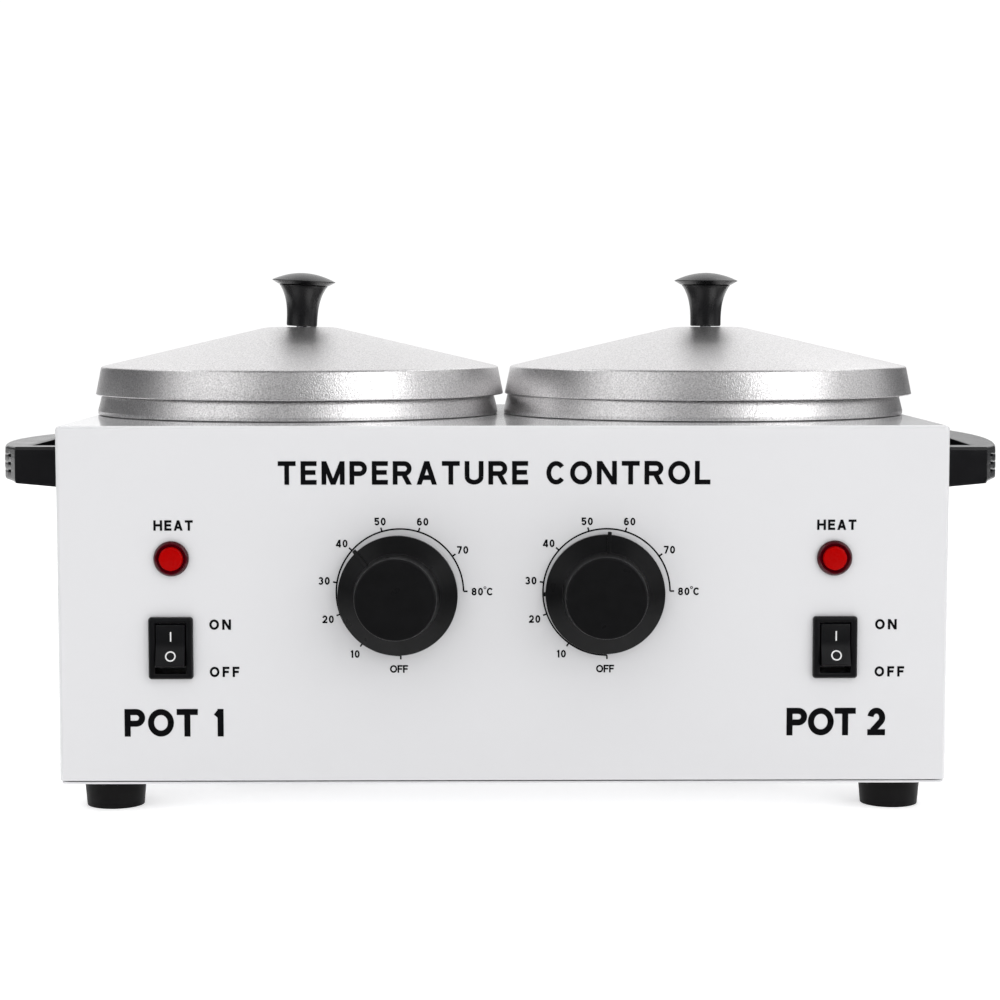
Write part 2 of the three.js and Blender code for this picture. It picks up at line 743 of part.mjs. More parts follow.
// The pointer rib lies along local X.
function dial(back) {
  const front = back + DIAL_LENGTH;
  const inside = front - 2;
  const knob = turned([
    [0, front - SHAFT_SHORT + GAP],
    [HUB_BORE, front - SHAFT_SHORT + GAP],
    [HUB_BORE, back + 3.5],
    [HUB_RADIUS, back + 3.5],
    [HUB_RADIUS, inside],
    [GRIP_FRONT_RADIUS - DIAL_WALL, inside],
    [GRIP_BASE_RADIUS - DIAL_WALL, back + 5.5],
    [SKIRT_RADIUS - DIAL_WALL, back + 1.6],
    [SKIRT_RADIUS - DIAL_WALL, back],
    [SKIRT_RADIUS, back],
    [SKIRT_RADIUS, back + 2.5],
    [GRIP_BASE_RADIUS, back + 6.8],
    [GRIP_FRONT_RADIUS, front - 0.5],
    [GRIP_FRONT_RADIUS - 0.5, front],
    [0, front],
  ], 24);
  const ribHalfWidth = 0.7;
  const rib = plate([
    [SKIRT_RADIUS - 1, back + 0.6],
    [SKIRT_RADIUS + 1, back + 0.6],
    [SKIRT_RADIUS + 1, back + 2.9],
    [SKIRT_RADIUS - 0.4, back + 3.5],
    [GRIP_BASE_RADIUS - 0.5, back + 7.7],
    [GRIP_BASE_RADIUS - 0.5, back + 6.6],
  ], -ribHalfWidth, ribHalfWidth);
  return knob.add(rib);
}

for (const { name, side, pointer, standoff } of SIDES) {
  const place = addFrame(warmer, frontFrame(side * DIAL_X, DIAL_HEIGHT));
  add(place, `thermostat_${name}`, thermostat(side), zincSteel);
  add(place, `thermostat_nut_${name}`, thermostatNut(), zincSteel);
  const turning = addFrame(place, new THREE.Group());
  turning.rotation.z = THREE.MathUtils.degToRad(pointer);
  add(turning, `thermostat_shaft_${name}`, shaft(standoff + DIAL_LENGTH), zincSteel);
  add(turning, `dial_${name}`, dial(standoff), blackPlastic);
}

// ---- Pilot lamps ----

const LAMP_HOLDER_RADIUS = 6.2;
const LAMP_HOLDER_DEPTH = 24;

function lampLens() {
  return turned([
    [0, -5],
    [LAMP_STEM_RADIUS, -5],
    [LAMP_STEM_RADIUS, GAP],
    [LAMP_RADIUS, GAP],
    [LAMP_RADIUS, 1.1],
    [LAMP_RADIUS - 0.5, 1.8],
    [4.1, 2],
    [3.9, 2.6],
    [2.4, 3.1],
    [0, 3.3],
  ], 16);
}

function lampHolder() {
  const back = -LAMP_HOLDER_DEPTH;
  const front = -SHEET - GAP;
  return turned([
    [0, back],
    [LAMP_HOLDER_RADIUS, back],
    [LAMP_HOLDER_RADIUS, front],
    [LAMP_STEM_RADIUS + GAP, front],
    [LAMP_STEM_RADIUS + GAP, -8],
    [0, -8],
  ], 16);
}

for (const { name, side } of SIDES) {
  const place = addFrame(warmer, frontFrame(side * LAMP_X, LAMP_HEIGHT));
  add(place, `lamp_lens_${name}`, lampLens(), redLens);
  add(place, `lamp_holder_${name}`, lampHolder(), whitePlastic);
}

// ---- Rocker switches ----

const SWITCH_BODY_WIDTH = 12.6;
const SWITCH_BODY_HEIGHT = 18.8;
const SWITCH_BODY_DEPTH = 20;
const SWITCH_TAB_REACH = 27;
const CAVITY_WIDTH = 10.7;
const CAVITY_HEIGHT = 17.4;
const CAVITY_DEPTH = 11;
const PIVOT_RADIUS = 1.2;

// A bar along local X at the rocker's pivot.
function pivotBar(radius, halfLength, z) {
  const matrix = new THREE.Matrix4().makeTranslation(0, 0, z);
  matrix.multiply(new THREE.Matrix4().makeRotationY(Math.PI / 2));
  return placed(bar(radius, -halfLength, halfLength, 0, 0, 12), matrix);
}

function switchHousing() {
  let body = slab(roundedRectangle(BEZEL_WIDTH, BEZEL_HEIGHT, 1), GAP, BEZEL_PROUD, 1);
  const halfX = SWITCH_BODY_WIDTH / 2;
  const halfY = SWITCH_BODY_HEIGHT / 2;
  body = body.add(block(-halfX, halfX, -halfY, halfY, -SWITCH_BODY_DEPTH, 1));
  for (const y of [-5, 5]) {
    body = body.add(block(-2.4, 2.4, y - 0.4, y + 0.4, -SWITCH_TAB_REACH, 1 - SWITCH_BODY_DEPTH));
  }
  const cavity = block(
    -CAVITY_WIDTH / 2, CAVITY_WIDTH / 2, -CAVITY_HEIGHT / 2, CAVITY_HEIGHT / 2, -CAVITY_DEPTH, PANEL_CUT);
  return body.subtract(cavity).subtract(pivotBar(PIVOT_RADIUS + GAP, PANEL_CUT, ROCKER_PIVOT));
}

// The rocker about its pivot, standing level: two flat faces that meet in a shallow V.
function rocker() {
  const half = ROCKER_HALF_HEIGHT;
  const tip = ROCKER_FACE + half * Math.tan(THREE.MathUtils.degToRad(ROCKER_TILT));
  const profile = outline([
    [tip, -half],
    [ROCKER_FACE, 0],
    [tip, half],
    [0.5, half - 0.7],
    [-4.5, 3],
    [-4.5, -3],
    [0.5, 0.7 - half],
  ]);
  const geometry = new THREE.ExtrudeGeometry(profile, { depth: ROCKER_WIDTH, bevelEnabled: false });
  geometry.translate(0, 0, -ROCKER_WIDTH / 2);
  geometry.rotateY(-Math.PI / 2);
  return solid(geometry).add(pivotBar(PIVOT_RADIUS, CAVITY_WIDTH / 2 + 0.55, 0));
}

for (const { name, side } of SIDES) {
  const place = addFrame(warmer, frontFrame(side * SWITCH_X, SWITCH_HEIGHT));
  add(place, `switch_housing_${name}`, switchHousing(), blackPlastic);
  const pivot = addFrame(place, groupAt(0, 0, ROCKER_PIVOT));
  pivot.rotation.x = THREE.MathUtils.degToRad(-ROCKER_TILT); // on: the top is pressed in
  add(pivot, `switch_rocker_${name}`, rocker(), blackPlastic);
}

// ---- Handles ----

const HANDLE_SCREW_LENGTH = 13;

// A bracket-shaped grip that stands out along local X, with both arms against the casing at X 0.
function handle() {
  const end = HANDLE_HALF_LENGTH - HANDLE_BEVEL;
  const armInside = HANDLE_HALF_LENGTH - HANDLE_ARM + HANDLE_BEVEL;
  const cornerX = 24.6 - HANDLE_BEVEL;
  const cornerY = 45;
  const bow = HANDLE_BOW - HANDLE_BEVEL;
  const gripInside = 16.8 + HANDLE_BEVEL;
  const bowStep = (bow - cornerX) / 4;
  const shape = outline([
    [0, -end],
    [HANDLE_TIP - HANDLE_BEVEL / 2, -end],
    [cornerX, -cornerY],
    [bow - bowStep, -cornerY / 2],
    [bow, 0],
    [bow - bowStep, cornerY / 2],
    [cornerX, cornerY],
    [HANDLE_TIP - HANDLE_BEVEL / 2, end],
    [0, end],
    [0, armInside],
    [gripInside - 3, armInside],
    [gripInside, armInside - 4],
    [gripInside, 4 - armInside],
    [gripInside - 3, -armInside],
    [0, -armInside],
  ]);
  const geometry = new THREE.ExtrudeGeometry(shape, {
    depth: HANDLE_HEIGHT - 2 * HANDLE_BEVEL,
    bevelEnabled: true,
    bevelThickness: HANDLE_BEVEL,
    bevelSize: HANDLE_BEVEL,
    bevelSegments: 1,
  });
  geometry.translate(0, 0, HANDLE_BEVEL);
  let grip = solid(geometry);
  const reach = HANDLE_BOW + 5;
  const length = HANDLE_HALF_LENGTH + 5;
  grip = grip.subtract(block(-reach, GAP, -length, length, -1, HANDLE_HEIGHT + 1));
  const rise = 1.4 / HANDLE_TIP; // the underside climbs a little towards the grip
  grip = grip.subtract(plate([[0, 0], [0, -3], [reach, -3], [reach, rise * reach]], -length, length));
  for (const y of [-HANDLE_SCREW_Y, HANDLE_SCREW_Y]) {
    const matrix = new THREE.Matrix4().makeTranslation(0, y, HANDLE_SCREW_Z);
    matrix.multiply(new THREE.Matrix4().makeRotationY(Math.PI / 2));
    grip = grip.subtract(placed(bar(SCREW_HOLE_RADIUS, -1, HANDLE_SCREW_LENGTH, 0, 0, 10), matrix));
  }
  return grip;
}

for (const { name, side } of SIDES) {
  const place = addFrame(warmer, groupAt(side * BODY_WIDTH / 2, 0, HANDLE_Z));
  place.rotation.z = side < 0 ? Math.PI : 0;
  add(place, `handle_${name}`, handle(), blackPlastic);
  for (const [endName, end] of [['front', -side], ['rear', side]]) {
    const fixing = addFrame(place, groupAt(-SHEET - GAP, end * HANDLE_SCREW_Y, HANDLE_SCREW_Z));
    fixing.rotation.y = Math.PI / 2;
    add(fixing, `handle_screw_${endName}_${name}`, screw(2, HANDLE_SCREW_LENGTH + SHEET, 4, 2.4), zincSteel);
  }
}

// ---- Mains inlet, terminal block and wiring ----

const PIN_WIDTH = 2;
const PIN_HEIGHT = 4;
const PIN_TAIL = 30; // behind the panel's face
const INLET_BODY_WIDTH = 27.2;
const INLET_BODY_HEIGHT = 20;
const INLET_BODY_DEPTH = 24;
const PINS = [
  { name: 'line', x: -PIN_SPACING, y: -2 },
  { name: 'neutral', x: PIN_SPACING, y: -2 },
  { name: 'earth', x: 0, y: 2 },
];

function pinBlock({ x, y }, z0, z1, grow = 0) {
  const halfX = PIN_WIDTH / 2 + grow;
  const halfY = PIN_HEIGHT / 2 + grow;
  return block(x - halfX, x + halfX, y - halfY, y + halfY, z0, z1);
}

function powerInlet() {
  const cavity = outline([
    [-12.2, -4.4],
    [-8.2, -8.4],
    [8.2, -8.4],
    [12.2, -4.4],
    [12.2, 8.4],
    [-12.2, 8.4],
  ]);
  let inlet = slab(roundedRectangle(INLET_FLANGE_WIDTH, INLET_FLANGE_HEIGHT, 2), GAP, INLET_PROUD);
  inlet = inlet.add(slab(roundedRectangle(INLET_BODY_WIDTH, INLET_BODY_HEIGHT, 1), -INLET_BODY_DEPTH, 1, 1));
  inlet = inlet.subtract(slab(cavity, -INLET_CAVITY_DEPTH, PANEL_CUT));
  for (const pin of PINS) {
    inlet = inlet.subtract(pinBlock(pin, -PIN_TAIL, 0, GAP));
  }
  return inlet;
}

const inletFrame = addFrame(warmer, backFrame(INLET_HEIGHT));
add(inletFrame, 'power_inlet', powerInlet(), blackPlastic);
for (const pin of PINS) {
  add(inletFrame, `inlet_pin_${pin.name}`, pinBlock(pin, -PIN_TAIL, -2), brass);
}

const TERMINAL_HALF_LENGTH = 17;
const TERMINAL_HALF_DEPTH = 8;
const TERMINAL_HEIGHT = 13;
const TERMINAL_Y = 25;

function terminalBlock() {
  const half = TERMINAL_HALF_LENGTH;
  const front = TERMINAL_Y - TERMINAL_HALF_DEPTH;
  const back = TERMINAL_Y + TERMINAL_HALF_DEPTH;
  const top = INSIDE_Z + TERMINAL_HEIGHT;
  let body = block(-half, half, front, back, INSIDE_Z, top);
  for (const x of [-10, 0, 10]) {
    for (const y of [-4, 4]) {
      body = body.subtract(bar(2.2, top - 6, top + 1, x, TERMINAL_Y + y, 6));
    }
  }
  return body;
}

// The loom from the terminal block, low in front of the pot, to the back of the rocker switch.
function wireLoom(side) {
  const switchBack = FRONT_Y + SWITCH_TAB_REACH + GAP;
  const switchZ = BODY_Z + SWITCH_HEIGHT;
  const path = [
    [TERMINAL_HALF_LENGTH + 2 * GAP, TERMINAL_Y, INSIDE_Z + 6],
    [TERMINAL_HALF_LENGTH + 5, TERMINAL_Y, INSIDE_Z + 6],
    [34, 0, INSIDE_Z + 4],
    [48, -35, INSIDE_Z + 4],
    [75, -58, INSIDE_Z + 6],
    [98, -62, INSIDE_Z + 15],
    [109, -54, INSIDE_Z + 30],
    [SWITCH_X, switchBack + 5, switchZ - 2],
    [SWITCH_X, switchBack, switchZ],
  ];
  return tube(path.map(([x, y, z]) => [side * x, y, z]), 2, 20, 6);
}

add(warmer, 'terminal_block', terminalBlock(), whitePlastic);
for (const { name, side } of SIDES) {
  add(warmer, `wire_loom_${name}`, wireLoom(side), wireSleeve);
}

export default warmer;
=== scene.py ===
# Looks for the double wax warmer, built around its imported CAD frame.
#
# Sizes and places are in millimetres, in the frame's own axes: X along the front panel, Y from the front
# panel to the back, Z up. They become metres where a mesh is made, because the frame and Blender use metres.

import json
import math

import bmesh
import bpy
from mathutils import Matrix, Vector


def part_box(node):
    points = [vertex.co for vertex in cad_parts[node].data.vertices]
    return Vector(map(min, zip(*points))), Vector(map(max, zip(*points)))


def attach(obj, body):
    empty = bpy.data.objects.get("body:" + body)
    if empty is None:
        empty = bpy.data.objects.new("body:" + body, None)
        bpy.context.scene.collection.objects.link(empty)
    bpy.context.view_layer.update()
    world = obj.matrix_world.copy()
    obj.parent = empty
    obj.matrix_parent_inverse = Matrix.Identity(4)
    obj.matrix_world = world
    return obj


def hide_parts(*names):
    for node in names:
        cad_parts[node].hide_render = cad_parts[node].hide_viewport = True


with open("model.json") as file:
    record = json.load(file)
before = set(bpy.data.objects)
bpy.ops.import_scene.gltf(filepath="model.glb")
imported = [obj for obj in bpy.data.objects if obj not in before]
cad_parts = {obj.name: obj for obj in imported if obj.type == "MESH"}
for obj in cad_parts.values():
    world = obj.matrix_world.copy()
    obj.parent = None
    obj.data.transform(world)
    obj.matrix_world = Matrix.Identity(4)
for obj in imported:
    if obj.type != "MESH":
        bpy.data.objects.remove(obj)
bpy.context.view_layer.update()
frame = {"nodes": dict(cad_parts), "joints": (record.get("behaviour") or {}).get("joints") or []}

MM = 0.001
GAP = 0.3  # between pieces that stand against each other
SIDES = (("left", -1), ("right", 1))
ENDS = (("front", -1), ("rear", 1))


# ---- Places from the frame ----

def box(node):
    """The lowest and highest corner of a CAD node, in millimetres."""
    low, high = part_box(node)
    return low / MM, high / MM


def middle(node):
    low, high = box(node)
    return (low + high) / 2


def joint_at(name):
    """A point on a joint's axis, in millimetres."""
    found = next(item for item in frame["joints"] if item["name"] == name)
    return tuple(value / MM for value in found["pos_m"])


def at(x, y, z=0.0):
    return Matrix.Translation((x, y, z))


SHELL_LOW, SHELL_HIGH = box("outer_shell")


def front_frame(x, z):
    """Local X to the right on the front panel, Y up, Z out towards the user."""
    return at(x, SHELL_LOW.y, z) @ Matrix.Rotation(math.pi / 2, 4, "X")


def back_frame(x, z):
    """The same on the back, seen from behind."""
    place = at(x, SHELL_HIGH.y, z) @ Matrix.Rotation(math.pi, 4, "Z")
    return place @ Matrix.Rotation(math.pi / 2, 4, "X")


# ---- Materials ----

class Surface:
    """A Principled material whose noise, bump and tint nodes read the piece's own coordinates."""

    def __init__(self, name, colour, roughness, metallic=0.0, **sockets):
        self.material = bpy.data.materials.new(name)
        self.material.use_nodes = True
        self.nodes = self.material.node_tree.nodes
        self.links = self.material.node_tree.links
        self.shader = self.nodes["Principled BSDF"]
        self.colour = colour
        self.shader.inputs["Base Color"].default_value = (*colour, 1)
        self.shader.inputs["Roughness"].default_value = roughness
        self.shader.inputs["Metallic"].default_value = metallic
        for socket, value in sockets.items():
            self.shader.inputs[socket.replace("_", " ")].default_value = value
        self.coordinates = self.nodes.new("ShaderNodeTexCoord").outputs["Object"]

    def noise(self, scale, detail=2.0, stretch=(1, 1, 1)):
        mapping = self.nodes.new("ShaderNodeMapping")
        mapping.inputs["Scale"].default_value = stretch
        self.links.new(self.coordinates, mapping.inputs["Vector"])
        texture = self.nodes.new("ShaderNodeTexNoise")
        texture.inputs["Scale"].default_value = scale
        texture.inputs["Detail"].default_value = detail
        self.links.new(mapping.outputs["Vector"], texture.inputs["Vector"])
        return texture.outputs["Fac"]

    def mapped(self, value, low, high, start=0.25, end=0.75):
        node = self.nodes.new("ShaderNodeMapRange")
        node.inputs["From Min"].default_value = start
        node.inputs["From Max"].default_value = end
        node.inputs["To Min"].default_value = low
        node.inputs["To Max"].default_value = high
        self.links.new(value, node.inputs["Value"])
        return node.outputs["Result"]

    def tint(self, scale, amount, detail=3.0, stretch=(1, 1, 1), towards=None):
        """Mixes the base colour towards a darker or given colour in soft patches."""
        other = towards or tuple(channel * (1 - amount) for channel in self.colour)
        mix = self.nodes.new("ShaderNodeMix")
        mix.data_type = "RGBA"
        mix.inputs["A"].default_value = (*self.colour, 1)
        mix.inputs["B"].default_value = (*other, 1)
        reach = amount if towards else 1
        self.links.new(self.mapped(self.noise(scale, detail, stretch), 0, reach), mix.inputs["Factor"])
        self.links.new(mix.outputs["Result"], self.shader.inputs["Base Color"])
        return self

    def gloss(self, scale, low, high, detail=2.0, stretch=(1, 1, 1)):
        """Lets the roughness wander between two values."""
        value = self.mapped(self.noise(scale, detail, stretch), low, high)
        self.links.new(value, self.shader.inputs["Roughness"])
        return self

    def bump(self, *layers):
        """Adds grain: each layer is (noise scale, depth in mm, detail, stretch)."""
        previous = None
        for scale, depth, detail, stretch in layers:
            node = self.nodes.new("ShaderNodeBump")
            node.inputs["Strength"].default_value = 1
            node.inputs["Distance"].default_value = depth * MM
            self.links.new(self.noise(scale, detail, stretch), node.inputs["Height"])
            if previous:
                self.links.new(previous, node.inputs["Normal"])
            previous = node.outputs["Normal"]
        self.links.new(previous, self.shader.inputs["Normal"])
        return self


EVEN = (1, 1, 1)


def make_surfaces():
    surfaces = {
        "paint": Surface("white_enamel", (0.702, 0.702, 0.715), 0.34, Coat_Weight=1.0, Coat_Roughness=0.05)
            .tint(9, 0.02).gloss(40, 0.31, 0.37).bump((420, 0.0015, 1, EVEN), (14, 0.03, 0, EVEN)),
        "aluminium": Surface("blasted_aluminium", (0.95, 0.937, 0.941), 0.34, 1.0)
            .tint(1900, 0.42, detail=1).gloss(1100, 0.29, 0.39)
            .bump((2400, 0.075, 0, EVEN), (60, 0.02, 1, EVEN)),
        "bakelite": Surface("black_bakelite", (0.007, 0.007, 0.008), 0.26)
            .tint(300, 0.3).gloss(90, 0.23, 0.31).bump((700, 0.003, 2, EVEN)),
        "dial": Surface("black_dial_plastic", (0.0072, 0.0072, 0.0077), 0.3, Specular_IOR_Level=0.13)
            .tint(260, 0.25).gloss(160, 0.27, 0.34).bump((2600, 0.006, 2, EVEN)),
        "handle": Surface("black_handle_plastic", (0.0055, 0.0055, 0.0065), 0.24)
            .tint(200, 0.25).gloss(120, 0.2, 0.28).bump((1500, 0.005, 2, EVEN)),
        # Painted shade: a darker black with IOR 1.01, so almost without reflection, for the finger hole's
        # inner wall and the groove starts, where the handle lies in shade; only the higher roughness is a
        # real difference.
        "handle_painted_shade": Surface("handle_plastic_painted_shade", (0.003, 0.003, 0.0035), 0.5, IOR=1.01)
            .tint(200, 0.25).gloss(120, 0.45, 0.55).bump((1500, 0.005, 2, EVEN)),
        "switch": Surface("black_switch_plastic", (0.0045, 0.0045, 0.0055), 0.34, Specular_IOR_Level=0.3)
            .tint(300, 0.25).gloss(200, 0.3, 0.4).bump((2200, 0.004, 2, EVEN)),
        "rubber": Surface("black_rubber", (0.0045, 0.0043, 0.0045), 0.5, Specular_IOR_Level=0.09)
            .tint(180, 0.4, towards=(0.0085, 0.008, 0.008)).gloss(300, 0.4, 0.52)
            .bump((1300, 0.008, 3, EVEN)),
        "lamp": Surface("red_lens", (0.385, 0.0, 0.0), 0.26, Specular_IOR_Level=0.06)
            .tint(420, 0.12).gloss(300, 0.22, 0.32).bump((500, 0.003, 1, EVEN)),
        "lamp_ring": Surface("dark_red_lens", (0.06, 0.0, 0.004), 0.12, Specular_IOR_Level=0.5)
            .tint(300, 0.3).gloss(300, 0.08, 0.15).bump((400, 0.004, 1, EVEN)),
        "ink": Surface("black_panel_ink", (0.0035, 0.0035, 0.0045), 0.45, Specular_IOR_Level=0.08)
            .tint(900, 0.3).gloss(700, 0.34, 0.5).bump((1600, 0.003, 2, EVEN)),
        "white_ink": Surface("white_marking_ink", (0.78, 0.78, 0.78), 0.4)
            .tint(1200, 0.12).gloss(900, 0.35, 0.5).bump((1600, 0.003, 2, EVEN)),
        "nylon": Surface("white_nylon", (0.7, 0.68, 0.62), 0.45)
            .tint(120, 0.08).gloss(300, 0.4, 0.55).bump((1400, 0.01, 2, EVEN)),
        "zinc": Surface("zinc_steel", (0.56, 0.57, 0.59), 0.32, 1.0)
            .tint(140, 0.2, detail=5).gloss(220, 0.26, 0.42).bump((500, 0.006, 4, (1, 1, 0.06))),
        "brass": Surface("drawn_brass", (0.62, 0.46, 0.2), 0.26, 1.0)
            .tint(240, 0.25, detail=4).gloss(500, 0.2, 0.34).bump((1500, 0.004, 3, (1, 0.05, 1))),
        "copper": Surface("drawn_copper", (0.62, 0.34, 0.22), 0.28, 1.0)
            .tint(200, 0.4, detail=4, towards=(0.25, 0.12, 0.07)).gloss(400, 0.22, 0.4)
            .bump((900, 0.006, 3, EVEN)),
        "felt": Surface("glass_fibre_felt", (0.78, 0.74, 0.63), 0.95, Sheen_Weight=0.3)
            .tint(300, 0.18, detail=6).gloss(800, 0.88, 1.0).bump((900, 0.25, 6, (1, 1, 0.3))),
        "sleeve": Surface("glass_sleeve", (0.7, 0.66, 0.55), 0.6)
            .tint(700, 0.2, detail=4).gloss(900, 0.5, 0.7).bump((1600, 0.06, 2, EVEN)),
    }
    return {name: surface.material for name, surface in surfaces.items()}


SURFACES = make_surfaces()


# ---- Meshes ----

def lathe(profile, sides=96):
    """A solid of revolution about local Z from (radius, height) points, closed on the axis or on itself."""
    bm = bmesh.new()
    angles = [2 * math.pi * index / sides for index in range(sides)]
    rings = []
    for radius, height in profile:
        if radius < 1e-6:
            rings.append([bm.verts.new((0, 0, height))])
        else:
            rings.append([bm.verts.new((radius * math.cos(a), radius * math.sin(a), height)) for a in angles])
    pairs = list(zip(rings, rings[1:]))
    if len(rings[0]) > 1 and len(rings[-1]) > 1:
        pairs.append((rings[-1], rings[0]))
    for low, high in pairs:
        for index in range(sides):
            after = (index + 1) % sides
            corners = (low[index % len(low)], low[after % len(low)],
                       high[after % len(high)], high[index % len(high)])
            unique = list(dict.fromkeys(corners))
            if len(unique) > 2:
                bm.faces.new(unique)
    return bm


def filleted(points, closed=False, steps=5):
    """The outline with each corner that gives a third number rounded to that radius."""
    result = []
    count = len(points)
    for index, point in enumerate(points):
        corner = Vector(point[:2])
        at_end = not closed and index in (0, count - 1)
        if len(point) < 3 or at_end:
            result.append(tuple(corner))
            continue
        radius = point[2]
        before = (Vector(points[index - 1][:2]) - corner).normalized()
        after = (Vector(points[(index + 1) % count][:2]) - corner).normalized()
        half = before.angle(after) / 2
        reach = radius / math.tan(half)
        centre = corner + (before + after).normalized() * (radius / math.sin(half))
        start = corner + before * reach - centre
        end = corner + after * reach - centre
        turn = math.atan2(start.x * end.y - start.y * end.x, start.dot(end))
        for step in range(steps + 1):
            angle = turn * step / steps
            cos, sin = math.cos(angle), math.sin(angle)
            x = centre.x + start.x * cos - start.y * sin
            y = centre.y + start.x * sin + start.y * cos
            result.append((x, y))
    return result


def rectangle(width, height, radius, steps=5):
    x, y = width / 2, height / 2
    corners = [(x, -y, radius), (x, y, radius), (-x, y, radius), (-x, -y, radius)]
    return filleted(corners, closed=True, steps=steps)


def skin(rings):
    """Joins closed rings of 3-D points and closes both ends."""
    bm = bmesh.new()
    made = [[bm.verts.new(point) for point in ring] for ring in rings]
    for low, high in zip(made, made[1:]):
        count = len(low)
        for index in range(count):
            after = (index + 1) % count
            bm.faces.new((low[index], low[after], high[after], high[index]))
    bm.faces.new(list(reversed(made[0])))
    bm.faces.new(made[-1])
    return bm


def loft(rings):
    """Skins outlines of equal length, each given as (outline, height)."""
    return skin([[(x, y, height) for x, y in outline] for outline, height in rings])


def prism(outline, low, high, bevel=0.0, segments=3):
    bm = loft([(outline, low), (outline, high)])
    if bevel:
        rims = [edge for edge in bm.edges if abs(edge.verts[0].co.z - edge.verts[1].co.z) < 1e-6]
        bmesh.ops.bevel(bm, geom=rims, offset=bevel, segments=segments, profile=0.5, affect="EDGES")
    return bm


def bar(radius, low, high, sides=48):
    return lathe([(0, low), (radius, low), (radius, high), (0, high)], sides)


def brick(low, high, bevel=0.0, edges=None, segments=3):
    """A box between two corners, with the edges that a test picks rounded."""
    bm = bmesh.new()
    size = Vector(high) - Vector(low)
    place = Matrix.Translation((Vector(low) + Vector(high)) / 2) @ Matrix.Diagonal((*size, 1))
    bmesh.ops.create_cube(bm, size=1, matrix=place)
    if bevel:
        picked = [edge for edge in bm.edges if edges is None or edges(edge)]
        bmesh.ops.bevel(bm, geom=picked, offset=bevel, segments=segments, profile=0.5, affect="EDGES")
    return bm


def moved(bm, place):
    bmesh.ops.transform(bm, matrix=place, verts=bm.verts)
    return bm


def joined(parts):
    """One bmesh from several."""
    whole = bmesh.new()
    for part in parts:
        mesh = bpy.data.meshes.new("part")
        part.to_mesh(mesh)
        part.free()
        whole.from_mesh(mesh)
        bpy.data.meshes.remove(mesh)
    return whole


def to_mesh(name, bm, sharp=32):
    """A smooth-shaded mesh in metres from a bmesh in millimetres."""
    bmesh.ops.transform(bm, matrix=Matrix.Scale(MM, 4), verts=bm.verts)
    bmesh.ops.recalc_face_normals(bm, faces=bm.faces)
    mesh = bpy.data.meshes.new(name)
    bm.to_mesh(mesh)
    bm.free()
    mesh.polygons.foreach_set("use_smooth", [True] * len(mesh.polygons))
    mesh.set_sharp_from_angle(angle=math.radians(sharp))
    return mesh


def cut(bm, cutters):
    """The solid less one group of cutters that don't touch each other.

    The normals pass turns the faces of a closed cavity outward, so a hollow solid comes out filled.
    """
    scene = bpy.context.scene.collection
    body = bpy.data.objects.new("body", bpy.data.meshes.new("body"))
    tool = bpy.data.objects.new("tool", bpy.data.meshes.new("tool"))
    tool_bm = joined(cutters)
    for owner, source in ((body, bm), (tool, tool_bm)):
        bmesh.ops.recalc_face_normals(source, faces=source.faces)
        source.to_mesh(owner.data)
        source.free()
        scene.objects.link(owner)
    modifier = body.modifiers.new("cut", "BOOLEAN")
    modifier.operation = "DIFFERENCE"
    modifier.solver = "EXACT"
    modifier.object = tool
    bpy.context.view_layer.update()
    result = bpy.data.meshes.new_from_object(body.evaluated_get(bpy.context.evaluated_depsgraph_get()))
    cut_bm = bmesh.new()
    cut_bm.from_mesh(result)
    for owner in (body, tool):
        bpy.data.objects.remove(owner)
    bpy.data.meshes.remove(result)
    return cut_bm


def piece(name, bm, body, surface, stands_for=(), sharp=32, weighted=False):
    """Makes one visible piece, rides it on its body and hides the CAD parts that it stands for."""
    mesh = to_mesh(name, bm, sharp)
    mesh.materials.append(SURFACES[surface])
    obj = bpy.data.objects.new(name, mesh)
    bpy.context.scene.collection.objects.link(obj)
    if weighted:
        modifier = obj.modifiers.new("even_shading", "WEIGHTED_NORMAL")
        modifier.keep_sharp = True
    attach(obj, body)
    if stands_for:
        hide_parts(*stands_for)
    return obj


# ---- Casing ----

SHEET = 1.2
BEND = 1.6
BOTTOM_BEND = 1.0
FLANGE = 28
POT_HOLE = 67.2
SHAFT_HOLE = 5.1
LAMP_HOLE = 4.9
SWITCH_CUTOUT = (13.2, 19.4)
INLET_CUTOUT = (27.8, 20.6)
VENT_WIDTH = 3
VENT_LENGTH = 22
VENT_PITCH = 8
VENT_X = 75
VENT_DROP = 36  # from the top face to the middle of the slots
SCREW_HOLE = 2.4
REACH = 10  # how far a cutter goes to each side of the sheet's face


def stadium(width, length):
    return rectangle(width, length, width / 2 - 0.01, steps=8)


def bottom_corner(side):
    """What a rounded lower edge takes off one side of the casing."""
    edge = side * SHELL_HIGH.x
    below = SHELL_LOW.z - 1
    steps = 6
    outline = [(edge + side, below), (edge + side, SHELL_LOW.z + BOTTOM_BEND)]
    for step in range(steps + 1):
        angle = math.pi / 2 * step / steps
        x = edge - side * BOTTOM_BEND * (1 - math.cos(angle))
        outline.append((x, SHELL_LOW.z + BOTTOM_BEND * (1 - math.sin(angle))))
    outline.append((edge - side * BOTTOM_BEND, below))
    wedge = prism(outline, SHELL_LOW.y - 1 - SHELL_HIGH.y, 1)
    upright = Matrix.Rotation(math.pi / 2, 4, "X") @ Matrix.Scale(-1, 4, (0, 0, 1))
    return moved(wedge, at(0, SHELL_HIGH.y) @ upright)


